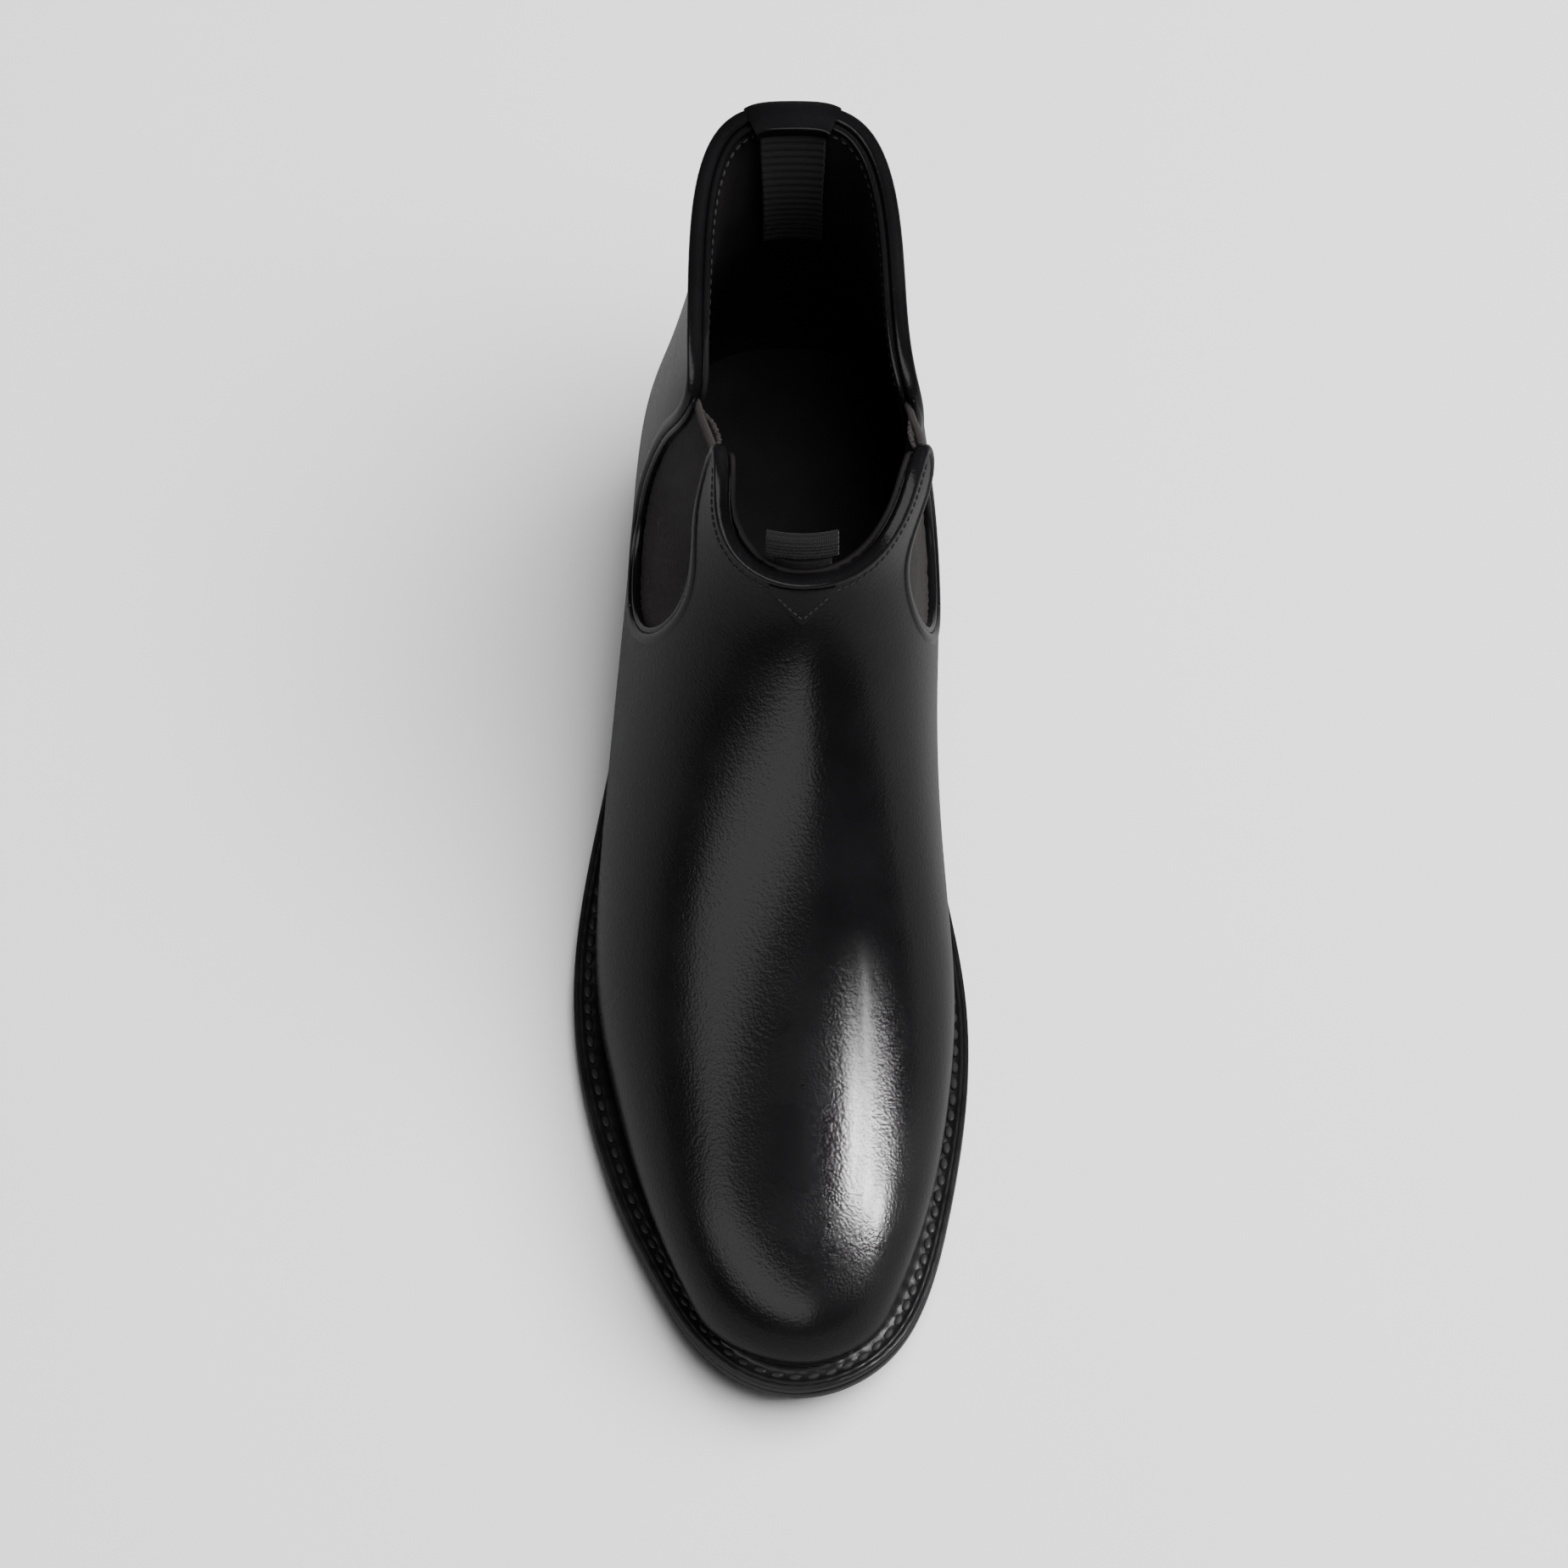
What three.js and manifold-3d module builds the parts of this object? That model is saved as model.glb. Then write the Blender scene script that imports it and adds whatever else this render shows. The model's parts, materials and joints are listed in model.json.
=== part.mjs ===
// Chelsea boot for the right foot, millimetres, +Z up, toe towards -Y, outer side towards -X.
import * as THREE from 'three';
import { mergeVertices } from 'three/addons/utils/BufferGeometryUtils.js';
import Module from 'manifold-3d';

const wasm = await Module();
wasm.setup();

// ---------------------------------------------------------------- driving dimensions
const OUTSOLE_LENGTH = 300; // toe tip to back of heel
const BALL_WIDTH = 97; // upper across the ball of the foot
const BOOT_HEIGHT = 166; // back of the topline above the floor
const UPPER_LEATHER = 1.8;
const STIFFENER = 1.4; // toe puff, heel counter and elastic, between upper and lining
const LINING_LEATHER = 1.2;
const LAYER_GAP = 0.35; // clearance between neighbouring layers
const BINDING_HEIGHT = 2.4; // binding that caps the topline
const BINDING_STAND = 0.5; // how far bindings stand proud of the upper
const GORE_BINDING_WIDTH = 2.0;
const GORE_UNDERLAP = 7; // elastic hidden under the leather round the opening
const LASTING_MARGIN = 11; // upper turned in under the insole
const INSOLE = 2.5;
const SOCK = 1.3;
const WELT = 3.0;
const WELT_PAST_BREAST = 6; // how far the welt runs back past the heel's front face
const WELT_INSIDE = 7; // welt under the turned-in upper
const OUTSOLE = 5.0;
const STITCH_WIDTH = 1.2;
const STITCH_HEIGHT = 0.9;
const STITCH_INSET = 2.7; // from the welt's outer edge
const HEEL_BREAST = 222; // from the toe tip
const HEEL_SET_IN = 0.8; // heel block inside the outsole's edge
const TOP_PIECE = 6;
const HEEL_LIFT = 5.7;
const HEEL_NAIL_RADIUS = 1.2;
const HEEL_NAIL_COUNT = 5;
const HEEL_NAIL_SPREAD = [19, 24]; // half-width and depth of the nails' horseshoe
const HEEL_NAIL_START = 32.5; // from the heel's front face to the horseshoe's ends
const NAIL_RECESS = 0.6; // nail heads above the tread
const SHANK_LENGTH = 98;
const SHANK_WIDTH = 14;
const SHANK_THICKNESS = 1.4;
const SHANK_IN_HEEL = 22; // how far the shank reaches back over the heel
const FRONT_TAB_WIDTH = 18;
const FRONT_TAB_HEIGHT = 6.5;
const FRONT_TAB_THICKNESS = 2.6;
const FRONT_TAB_SLOT = 0.7; // between the two plies of the folded ribbon
const FRONT_TAB_LEAN = 8; // degrees back from upright
const FRONT_TAB_SEWN = 14; // sewn down inside the lining
const FRONT_TAB_WALL_CURVE = 2.5; // how far the wall falls back across the tab's width
const BACK_STRAP_WIDTH = 24;
const BACK_STRAP_ABOVE_WELT = 7.9; // where the strap ends down the back seam
const BACK_STRAP_INSIDE = 5;
const BACK_STRAP_THICKNESS = 1.3;
const RIBBON_WIDTH = 20;
const RIBBON_LENGTH = 50;
const RIBBON_THICKNESS = 1.4;
const FRONT_STAY = [15, 6]; // small pointed stay under the front tab: width, depth
const FRONT_STAY_THICKNESS = 0.8;
const FRONT_STAY_SIDE = 1; // height of the stay's sides before they run to the point
const GORE_MIDDLE = 209; // from the toe tip, where the front half of the topline ends
const LINING_SEAM = 203; // from the toe tip, where vamp lining meets quarter lining

// Fineness of the faceted solids.
const SECTION_STEPS = 28;
const RING_STEPS = 26;
const OUTLINE_POINTS = 64;
const SOLE_STATIONS = 22;

// ---------------------------------------------------------------- the last
// Sections fan from toe to shaft. Each runs from a ridge point to a base point, both [y, z] from the
// toe tip and the floor, with an outer and inner half-width, the share of the way up where it is
// widest, exponents of the outer upper, inner upper and lower curves, and the x of base and ridge.
const REFERENCE = { length: 300, ball: 97, height: 166, bottom: 8.35 };
const SECTIONS = [
  [[6.5, 17.5], [34, 8.5], 24, 21, 0.45, 1.65, 1.65, 3.0, 4.0, 4.6],
  [[5, 24], [36, 8.2], 25.5, 22.5, 0.45, 1.75, 1.75, 3.0, 3.6, 4.6],
  [[6, 30.5], [39, 7.8], 27.5, 24.5, 0.45, 1.85, 1.85, 3.0, 3.2, 4.6],
  [[10.5, 38], [43, 7.2], 30, 27, 0.42, 1.95, 1.95, 3.0, 2.7, 4.6],
  [[19.5, 44.5], [49, 6.2], 33.5, 30.5, 0.4, 2.05, 2.05, 3.2, 2.0, 4.6],
  [[34, 50.5], [58, 4.8], 37.6, 35, 0.38, 2.1, 2.1, 3.6, 1.0, 4.6],
  [[53, 56], [70, 3.2], 41.3, 39.3, 0.36, 2.05, 2.1, 3.8, -0.5, 4.6],
  [[75, 63], [87, 1.8], 44.8, 43, 0.34, 2.0, 2.05, 4.0, -2.0, 4.6],
  [[98, 72.5], [108, 1], 48.2, 44.6, 0.32, 1.95, 2.0, 4.0, -2.5, 4.6],
  [[119, 84], [132, 2], 48.9, 43.2, 0.31, 1.9, 2.0, 3.8, -2.5, 4.6],
  [[138, 97.5], [160, 6.5], 47.5, 40.8, 0.31, 1.85, 2.05, 3.4, -2.0, 4.6],
  [[153, 111], [194, 14], 45.4, 39.4, 0.33, 1.85, 2.1, 3.0, -1.2, 4.6],
  [[164, 124], [234, 21], 43, 39, 0.38, 1.9, 2.2, 2.7, -0.5, 4.6],
  [[170, 136], [272, 28], 41.5, 36.6, 0.42, 2.0, 2.4, 3.4, 0.7, 4.6],
  [[173, 147], [292, 36], 39.2, 34.4, 0.44, 2.1, 2.8, 3.4, 1.2, 4.6],
  [[174, 157], [297, 60], 35.6, 32.4, 0.46, 2.1, 3.0, 2.6, 1.6, 4.6],
  [[174, 166], [296, 88], 32, 30.2, 0.48, 2.0, 2.8, 2.4, 2.0, 4.6],
  [[174, 175], [292, 114], 28.5, 28.2, 0.48, 1.95, 2.4, 2.8, 2.2, 4.6],
  [[174, 184], [291, 138], 27, 27.2, 0.48, 1.8, 2.3, 3.2, 2.2, 4.6],
  [[174, 193], [292, 161], 26.8, 27.2, 0.48, 1.9, 2.3, 3.4, 2.2, 4.6],
  [[174, 203], [294, 184], 26.8, 27.2, 0.48, 2.0, 2.3, 3.4, 2.2, 4.6],
];
// The leather beside the side openings leans towards the inner side, off the regular section: the
// middle of that area as [y, z], how far it spreads in y and z, and the outer and inner horns' moves in x.
const HORN_LEAN = { middle: [204, 152], spread: [17, 26], outer: 4.5, inner: 6.5 };
// Underside of the outsole above the floor: toe spring, ball, waist and heel pitch.
const SOLE_SPRING = [
  [-12, 12.6], [0, 11], [20, 7.8], [50, 3.6], [80, 0.8], [105, 0], [130, 1.8], [160, 6.8],
  [190, 14.2], [215, 19.6], [240, 23.2], [270, 26], [300, 27.8], [312, 28.3],
];
// Side view of the topline over the front of the boot, up to the horn, and over the quarter.
const FRONT_TOPLINE = [
  [150, 138], [171, 138.6], [177, 139.6], [183, 143.5], [190, 150], [198, 154], [206, 154],
];
const BACK_TOPLINE = [[214, 132], [219, 141], [226, 149.5], [240, 155], [262, 160], [291, 166], [310, 169]];
// Side view of the opening for the elastic, from the horn down round the bottom to the quarter.
const GORE_OUTLINE = [
  [202, 170], [202, 156], [200, 145], [192, 130], [183, 116], [179, 100], [184, 82], [198, 70],
  [213, 72], [223, 84], [226, 102], [223, 122], [219, 141], [217, 156], [216, 170],
];
// Plan of the outsole and welt as [x, y], from the toe tip round the inner side, heel and outer side.
const SOLE_OUTLINE = [
  [4, 0], [17, 3.2], [28, 11.5], [36, 25], [42.5, 48], [47, 74], [48.8, 95], [48, 115], [44, 138],
  [39.5, 162], [37.8, 186], [37.4, 210], [38, 235], [37, 256], [31, 277], [19, 293], [2, 299.5],
  [-15, 293.5], [-28, 277.5], [-35.5, 256], [-38.8, 235], [-41.5, 210], [-45, 185], [-50, 160],
  [-54.4, 135], [-55.8, 113], [-53.5, 90], [-48.7, 70], [-41.5, 49], [-33, 31], [-23, 14.5], [-10, 3.5],
];

// Regions and edges in the side view, as [y, z].
const TOE_PUFF = [[-20, -20], [62, -20], [50, 30], [40, 90], [-20, 90]];
const HEEL_COUNTER = [[237, -20], [320, -20], [320, 84], [290, 84], [255, 74], [240, 60]];
// The elastic's own top edge stays below the bindings of horn and quarter.
const ELASTIC_TOP = [[190, 160], [190, 146], [199, 144.5], [210, 141.5], [219, 138.5], [240, 137], [240, 160]];

// The bottom keeps its own thickness, and the last stands on it and takes the rest of the height.
const bottomHeight = WELT + OUTSOLE + LAYER_GAP;
const scaleX = BALL_WIDTH / REFERENCE.ball;
const scaleY = OUTSOLE_LENGTH / REFERENCE.length;
const scaleZ = (BOOT_HEIGHT - bottomHeight) / (REFERENCE.height - REFERENCE.bottom);
const scaled = (points) => points.map(([y, z]) => [
  y * scaleY, bottomHeight + (z - REFERENCE.bottom) * scaleZ,
]);
const scaledSpring = SOLE_SPRING.map(([y, z]) => new THREE.Vector2(y * scaleY, z * scaleZ));
const sections = SECTIONS.map(([ridge, base, outer, inner, widest, ...rest]) => {
  const [outerCurve, innerCurve, lowerCurve, baseX, ridgeX] = rest;
  const [[ridgeY, ridgeZ], [baseY, baseZ]] = scaled([ridge, base]);
  return [
    ridgeY, ridgeZ, baseY, baseZ, outer * scaleX, inner * scaleX, widest,
    outerCurve, innerCurve, lowerCurve, baseX * scaleX, ridgeX * scaleX,
  ];
});

const springLine = new THREE.SplineCurve(scaledSpring).getPoints(SOLE_STATIONS);
const along = (line, at) => {
  const next = Math.max(1, line.findIndex((point, i) => i > 0 && point.x >= at));
  const a = line[next - 1];
  const b = line[next];
  return a.y + ((b.y - a.y) * (at - a.x)) / (b.x - a.x);
};
const springEnds = [springLine[0].x, springLine[SOLE_STATIONS].x];
const featherHeight = (y) => along(springLine, THREE.MathUtils.clamp(y, ...springEnds)) + bottomHeight;

function sectionAt(u) {
  const i = THREE.MathUtils.clamp(Math.floor(u), 0, sections.length - 2);
  const f = u - i;
  const b = sections[i];
  const c = sections[i + 1];
  const a = sections[i - 1] ?? b.map((value, k) => 2 * value - c[k]);
  const d = sections[i + 2] ?? c.map((value, k) => 2 * value - b[k]);
  return b.map((value, k) => 0.5 * (2 * value + (c[k] - a[k]) * f
    + (2 * a[k] - 5 * value + 4 * c[k] - d[k]) * f * f
    + (3 * value - a[k] - 3 * c[k] + d[k]) * f * f * f));
}

const [[leanY, leanZ]] = scaled([HORN_LEAN.middle]);
function hornLean(y, z, side, sine) {
  const [spreadY, spreadZ] = HORN_LEAN.spread;
  const reach = (side < 0 ? HORN_LEAN.outer : HORN_LEAN.inner) * scaleX;
  return reach * sine * Math.exp(-(((y - leanY) / (spreadY * scaleY)) ** 2) - ((z - leanZ) / (spreadZ * scaleZ)) ** 2);
}

// A point of the last's surface: angle 0 is the ridge, +-PI the base, negative is the outer side.
function lastPoint(u, angle) {
  const section = sectionAt(u);
  const [ridgeY, ridgeZ, baseY, baseZ, outer, inner, widest] = section;
  const [, , , , , , , outerCurve, innerCurve, lowerCurve, baseX, ridgeX] = section;
  const side = Math.sign(angle);
  const cosine = Math.cos(angle);
  const sine = Math.abs(Math.sin(angle));
  const halfWidth = side < 0 ? outer : inner;
  const upperCurve = side < 0 ? outerCurve : innerCurve;
  const curve = cosine >= 0 ? upperCurve : lowerCurve;
  const rise = Math.abs(cosine) ** (2 / curve);
  const share = cosine >= 0 ? widest + (1 - widest) * rise : widest * (1 - rise);
  const y = baseY + (ridgeY - baseY) * share;
  const z = baseZ + (ridgeZ - baseZ) * share;
  const x = baseX + (ridgeX - baseX) * share + side * halfWidth * sine ** (2 / curve);
  return new THREE.Vector3(x + hornLean(y, z, side, sine), y, z);
}

const NORMAL_STEP_ALONG = 0.02;
const NORMAL_STEP_ROUND = 0.04;
function lastNormal(u, angle) {
  const alongU = lastPoint(u + NORMAL_STEP_ALONG, angle).sub(lastPoint(u - NORMAL_STEP_ALONG, angle));
  const round = lastPoint(u, angle + NORMAL_STEP_ROUND).sub(lastPoint(u, angle - NORMAL_STEP_ROUND));
  return round.cross(alongU).normalize();
}

// ---------------------------------------------------------------- solids
function toManifold(geometry) {
  const bare = geometry.clone();
  bare.deleteAttribute('normal');
  bare.deleteAttribute('uv');
  const merged = mergeVertices(bare, 1e-4);
  return new wasm.Manifold(new wasm.Mesh({
    numProp: 3,
    vertProperties: new Float32Array(merged.attributes.position.array),
    triVerts: new Uint32Array(merged.index.array),
  }));
}

function toGeometry(solid) {
  const mesh = solid.getMesh();
  const geometry = new THREE.BufferGeometry();
  geometry.setAttribute('position', new THREE.BufferAttribute(new Float32Array(mesh.vertProperties), 3));
  geometry.setIndex(new THREE.BufferAttribute(new Uint32Array(mesh.triVerts), 1));
  geometry.computeVertexNormals();
  return geometry;
}

const bodies = new Map();
// The last shrunk by a depth below its surface, as a closed solid.
function lastBody(depth) {
  if (bodies.has(depth)) return bodies.get(depth);
  const positions = [];
  const index = [];
  const lastRow = sections.length - 1;
  for (let i = 0; i <= SECTION_STEPS; i += 1) {
    const u = (lastRow * i) / SECTION_STEPS;
    for (let j = 0; j < RING_STEPS; j += 1) {
      const angle = -Math.PI + (2 * Math.PI * j) / RING_STEPS;
      const point = lastPoint(u, angle).addScaledVector(lastNormal(u, angle), -depth);
      positions.push(point.x, point.y, point.z);
    }
  }
  for (let i = 0; i < SECTION_STEPS; i += 1) {
    for (let j = 0; j < RING_STEPS; j += 1) {
      const a = i * RING_STEPS + j;
      const b = i * RING_STEPS + ((j + 1) % RING_STEPS);
      index.push(a, b, a + RING_STEPS, b, b + RING_STEPS, a + RING_STEPS);
    }
  }
  for (let j = 1; j < RING_STEPS - 1; j += 1) {
    const top = SECTION_STEPS * RING_STEPS;
    index.push(0, j + 1, j, top, top + j, top + j + 1);
  }
  const geometry = new THREE.BufferGeometry();
  geometry.setAttribute('position', new THREE.Float32BufferAttribute(positions, 3));
  geometry.setIndex(index);
  const solid = toManifold(geometry);
  bodies.set(depth, solid);
  return solid;
}
const shell = (from, to) => lastBody(from).subtract(lastBody(to));

// Cutting prisms reach well past the boot on every side.
const PAST = 60;
const SKY = 400;
const FAR_BACK = OUTSOLE_LENGTH + PAST;
const HALF_SPAN = BALL_WIDTH;
const sideMatrix = new THREE.Matrix4().makeBasis(
  new THREE.Vector3(0, 1, 0), new THREE.Vector3(0, 0, 1), new THREE.Vector3(1, 0, 0),
);
// A prism across the boot whose outline is given in the side view as [y, z].
function sidePrism(points, fromX = -HALF_SPAN, toX = HALF_SPAN) {
  const shape = new THREE.Shape(points.map(([y, z]) => new THREE.Vector2(y, z)));
  const geometry = new THREE.ExtrudeGeometry(shape, { depth: toX - fromX, bevelEnabled: false });
  geometry.translate(0, 0, fromX);
  return toManifold(geometry.applyMatrix4(sideMatrix));
}

// An upright prism whose outline is given in plan.
function planPrism(points, fromZ = -PAST, toZ = SKY) {
  const shape = new THREE.Shape(points);
  const geometry = new THREE.ExtrudeGeometry(shape, { depth: toZ - fromZ, bevelEnabled: false });
  return toManifold(geometry.translate(0, 0, fromZ));
}

// The slab between two heights above the feather line, the edge where upper meets welt.
function featherSlab(from, to) {
  const stations = [-PAST, ...springLine.map((point) => point.x), FAR_BACK];
  const lower = stations.map((y) => [y, featherHeight(y) + from]);
  const upper = stations.map((y) => [y, featherHeight(y) + to]);
  return sidePrism([...lower, ...upper.reverse()]);
}
const aboveFeather = (height) => featherSlab(height, SKY);

const smooth = (points, steps) => new THREE.SplineCurve(points.map(([y, z]) => new THREE.Vector2(y, z)))
  .getPoints(steps).map((point) => [point.x, point.y]);

// A side-view outline grown outwards by a distance.
function grown(points, distance) {
  return points.map(([y, z], i) => {
    const [beforeY, beforeZ] = points[Math.max(i - 1, 0)];
    const [afterY, afterZ] = points[Math.min(i + 1, points.length - 1)];
    const run = Math.hypot(afterY - beforeY, afterZ - beforeZ);
    return [y - (distance * (afterZ - beforeZ)) / -run, z - (distance * (afterY - beforeY)) / run];
  });
}

// ---------------------------------------------------------------- outlines
const SEARCH_STEP = 0.02;
const HALVINGS = 40;
function aboveFeatherAt(u, angle) {
  const point = lastPoint(u, angle);
  return point.z - featherHeight(point.y);
}

function featherPoint(u, side) {
  let angle = Math.PI;
  while (aboveFeatherAt(u, side * angle) < 0 && angle > 0) angle -= SEARCH_STEP;
  const from = Math.min(angle + SEARCH_STEP, Math.PI);
  return lastPoint(u, side * crossing((at) => aboveFeatherAt(u, side * at), from, angle));
}

function crossing(height, from, to) {
  let below = from;
  let above = to;
  for (let i = 0; i < HALVINGS; i += 1) {
    const middle = (below + above) / 2;
    if (height(middle) < 0) below = middle;
    else above = middle;
  }
  return above;
}

// Sections between which the front of the toe and the back of the heel meet the welt.
const TOE_SECTIONS = [0, 2];
const HEEL_SECTIONS = [12, 15];
const FEATHER_STEPS = 44;
// The edge where the upper meets the welt, in plan, from the heel round the outer side and the toe.
function featherOutline() {
  const toe = crossing((u) => aboveFeatherAt(u, 0), ...TOE_SECTIONS);
  const heel = crossing((u) => aboveFeatherAt(u, Math.PI), ...HEEL_SECTIONS);
  const outer = [];
  const inner = [];
  for (let i = 1; i < FEATHER_STEPS; i += 1) {
    const u = toe + (heel - toe) * (0.5 - 0.5 * Math.cos((Math.PI * i) / FEATHER_STEPS));
    outer.push(featherPoint(u, -1));
    inner.push(featherPoint(u, 1));
  }
  const loop = [lastPoint(heel, Math.PI), ...outer.reverse(), lastPoint(toe, 0), ...inner];
  const curve = new THREE.CatmullRomCurve3(loop.map((point) => new THREE.Vector3(point.x, point.y, 0)), true);
  return curve.getSpacedPoints(OUTLINE_POINTS).slice(0, OUTLINE_POINTS);
}
const feather = featherOutline();

const soleCurve = new THREE.CatmullRomCurve3(
  SOLE_OUTLINE.map(([x, y]) => new THREE.Vector3(x * scaleX, y * scaleY, 0)), true,
);
const sole = soleCurve.getSpacedPoints(OUTLINE_POINTS).slice(0, OUTLINE_POINTS);

// A plan outline moved outwards by a distance.
function offsetLoop(loop, distance) {
  const count = loop.length;
  return loop.map((point, i) => {
    const run = loop[(i + 1) % count].clone().sub(loop[(i + count - 1) % count]).normalize();
    return new THREE.Vector2(point.x + run.y * distance, point.y - run.x * distance);
  });
}

// ---------------------------------------------------------------- layers of the upper
const stiffenerDepth = UPPER_LEATHER + LAYER_GAP;
const liningDepth = stiffenerDepth + STIFFENER + LAYER_GAP;
const cavityDepth = liningDepth + LINING_LEATHER;
const liningBase = UPPER_LEATHER + 2 * LAYER_GAP; // above the feather line
const insoleTop = liningBase + INSOLE;
const sockTop = insoleTop + LAYER_GAP + SOCK;

const frontTopline = smooth(scaled(FRONT_TOPLINE), 18);
const backTopline = smooth(scaled(BACK_TOPLINE), 18);
const goreOutline = smooth(scaled(GORE_OUTLINE), 36);
const lowered = (points, drop) => points.map(([y, z]) => [y, z - drop]);
const goreMiddle = GORE_MIDDLE * scaleY;
const liningSeam = LINING_SEAM * scaleY;

// Everything of the boot's front or back that lies below its topline by a drop.
function belowTopline(drop) {
  const front = lowered(frontTopline, drop);
  const back = lowered(backTopline, drop);
  const lastFront = front[front.length - 1];
  const outline = [
    [-PAST, -PAST], [-PAST, front[0][1]], ...front, [goreMiddle, lastFront[1]], [goreMiddle, back[0][1]],
    ...back, [FAR_BACK, back[back.length - 1][1]], [FAR_BACK, -PAST],
  ];
  return sidePrism(outline);
}
const goreOpening = (growth) => sidePrism(grown(goreOutline, growth));
const belowBinding = belowTopline(BINDING_HEIGHT + LAYER_GAP);
const block = (fromY, toY, fromZ, toZ) => sidePrism([[fromY, fromZ], [toY, fromZ], [toY, toZ], [fromY, toZ]]);
const ahead = (y) => block(-PAST, y, -PAST, SKY);
const behind = (y) => block(y, FAR_BACK, -PAST, SKY);
const between = (fromZ, toZ) => block(-PAST, FAR_BACK, fromZ, toZ);
const across = (x, width) => planPrism([
  new THREE.Vector2(x - width / 2, -PAST), new THREE.Vector2(x + width / 2, -PAST),
  new THREE.Vector2(x + width / 2, FAR_BACK), new THREE.Vector2(x - width / 2, FAR_BACK),
]);

function makeUpper() {
  const wall = shell(0, UPPER_LEATHER).intersect(aboveFeather(LAYER_GAP));
  const turnedIn = lastBody(UPPER_LEATHER / 2).intersect(featherSlab(LAYER_GAP, LAYER_GAP + UPPER_LEATHER))
    .subtract(planPrism(offsetLoop(feather, -LASTING_MARGIN)));
  return wall.add(turnedIn).intersect(belowBinding).subtract(goreOpening(LAYER_GAP));
}

function makeLining() {
  return shell(liningDepth, cavityDepth).intersect(aboveFeather(liningBase)).intersect(belowBinding)
    .subtract(goreOpening(LAYER_GAP));
}

function makeStiffener(region) {
  return shell(stiffenerDepth, stiffenerDepth + STIFFENER).intersect(aboveFeather(liningBase))
    .intersect(sidePrism(scaled(region)));
}

function makeElastic(fromX, toX) {
  const top = scaled(ELASTIC_TOP);
  return shell(stiffenerDepth, stiffenerDepth + STIFFENER)
    .intersect(sidePrism(grown(goreOutline, GORE_UNDERLAP), fromX, toX))
    .subtract(sidePrism([...top, [top[top.length - 1][0], SKY], [top[0][0], SKY]]));
}

function makeGoreBinding(fromX, toX) {
  const band = sidePrism(goreOutline, fromX, toX).subtract(sidePrism(grown(goreOutline, -GORE_BINDING_WIDTH)));
  return shell(-BINDING_STAND, stiffenerDepth - LAYER_GAP).intersect(band)
    .intersect(belowBinding);
}

function makeToplineBinding(half) {
  return shell(-BINDING_STAND, cavityDepth + BINDING_STAND).intersect(belowTopline(0))
    .subtract(belowTopline(BINDING_HEIGHT)).intersect(half).subtract(goreOpening(LAYER_GAP));
}

// ---------------------------------------------------------------- tabs
const SHAFT_FRONT_SECTION = 13;
const SHAFT_BACK_SECTION = 18;
const WALL_SECTIONS = [6, 20]; // the wall is searched between these sections
const ridgeX = sections[SHAFT_FRONT_SECTION][11];
const backX = sections[SHAFT_BACK_SECTION][10];
const toplineAt = (line, y) => along(line.map(([a, b]) => new THREE.Vector2(a, b)), y);

// Where a line at a height meets the inside of the boot at its front ridge or its back.
function wallY(height, angle, depth) {
  const u = crossing((at) => lastPoint(at, angle).z - height, ...WALL_SECTIONS);
  return lastPoint(u, angle).addScaledVector(lastNormal(u, angle), -depth).y;
}

const ridgeTop = frontTopline[0][1];
const tabDepth = cavityDepth + BINDING_STAND + LAYER_GAP;
const tabY = wallY(ridgeTop, 0, tabDepth) + FRONT_TAB_THICKNESS / 2;
const tabRootTop = toplineAt(frontTopline, tabY + FRONT_TAB_WALL_CURVE);
const tabHinge = new THREE.Vector3(ridgeX, tabY, tabRootTop + LAYER_GAP + FRONT_TAB_THICKNESS / 2);

// The folded ribbon above the topline: two plies joined by the fold at the top.
function frontTabGeometry() {
  const half = FRONT_TAB_THICKNESS / 2;
  const slot = FRONT_TAB_SLOT / 2;
  const straight = FRONT_TAB_HEIGHT - half;
  const shape = new THREE.Shape();
  shape.moveTo(-half, 0);
  shape.lineTo(-slot, 0);
  shape.lineTo(-slot, straight);
  shape.absarc(0, straight, slot, Math.PI, 0, true);
  shape.lineTo(slot, 0);
  shape.lineTo(half, 0);
  shape.lineTo(half, straight);
  shape.absarc(0, straight, half, 0, Math.PI, false);
  const geometry = new THREE.ExtrudeGeometry(shape, {
    depth: FRONT_TAB_WIDTH, bevelEnabled: false, curveSegments: 6,
  });
  geometry.translate(0, 0, -FRONT_TAB_WIDTH / 2);
  return geometry.applyMatrix4(sideMatrix);
}

function makeTabRoot() {
  return shell(tabDepth, tabDepth + FRONT_TAB_THICKNESS / 2).intersect(across(ridgeX, FRONT_TAB_WIDTH))
    .intersect(between(tabRootTop - FRONT_TAB_SEWN, tabRootTop)).intersect(ahead(goreMiddle));
}

const backTop = BOOT_HEIGHT;
const strapTop = backTop + LAYER_GAP + BACK_STRAP_THICKNESS;
const strapInner = cavityDepth + BINDING_STAND + LAYER_GAP;
const strapOuter = BINDING_STAND + LAYER_GAP;

// Leather strap: down the back seam outside, over the topline, and a short flap inside.
function makeBackStrap() {
  const outside = shell(-strapOuter - BACK_STRAP_THICKNESS, -strapOuter)
    .intersect(between(featherHeight(OUTSOLE_LENGTH) + BACK_STRAP_ABOVE_WELT, strapTop));
  const inside = shell(strapInner, strapInner + BACK_STRAP_THICKNESS)
    .intersect(between(backTop - BACK_STRAP_INSIDE, strapTop));
  const over = shell(-strapOuter - BACK_STRAP_THICKNESS, strapInner + BACK_STRAP_THICKNESS)
    .intersect(between(backTop + LAYER_GAP, strapTop));
  return outside.add(inside).add(over).intersect(across(backX, BACK_STRAP_WIDTH)).intersect(behind(goreMiddle));
}

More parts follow.
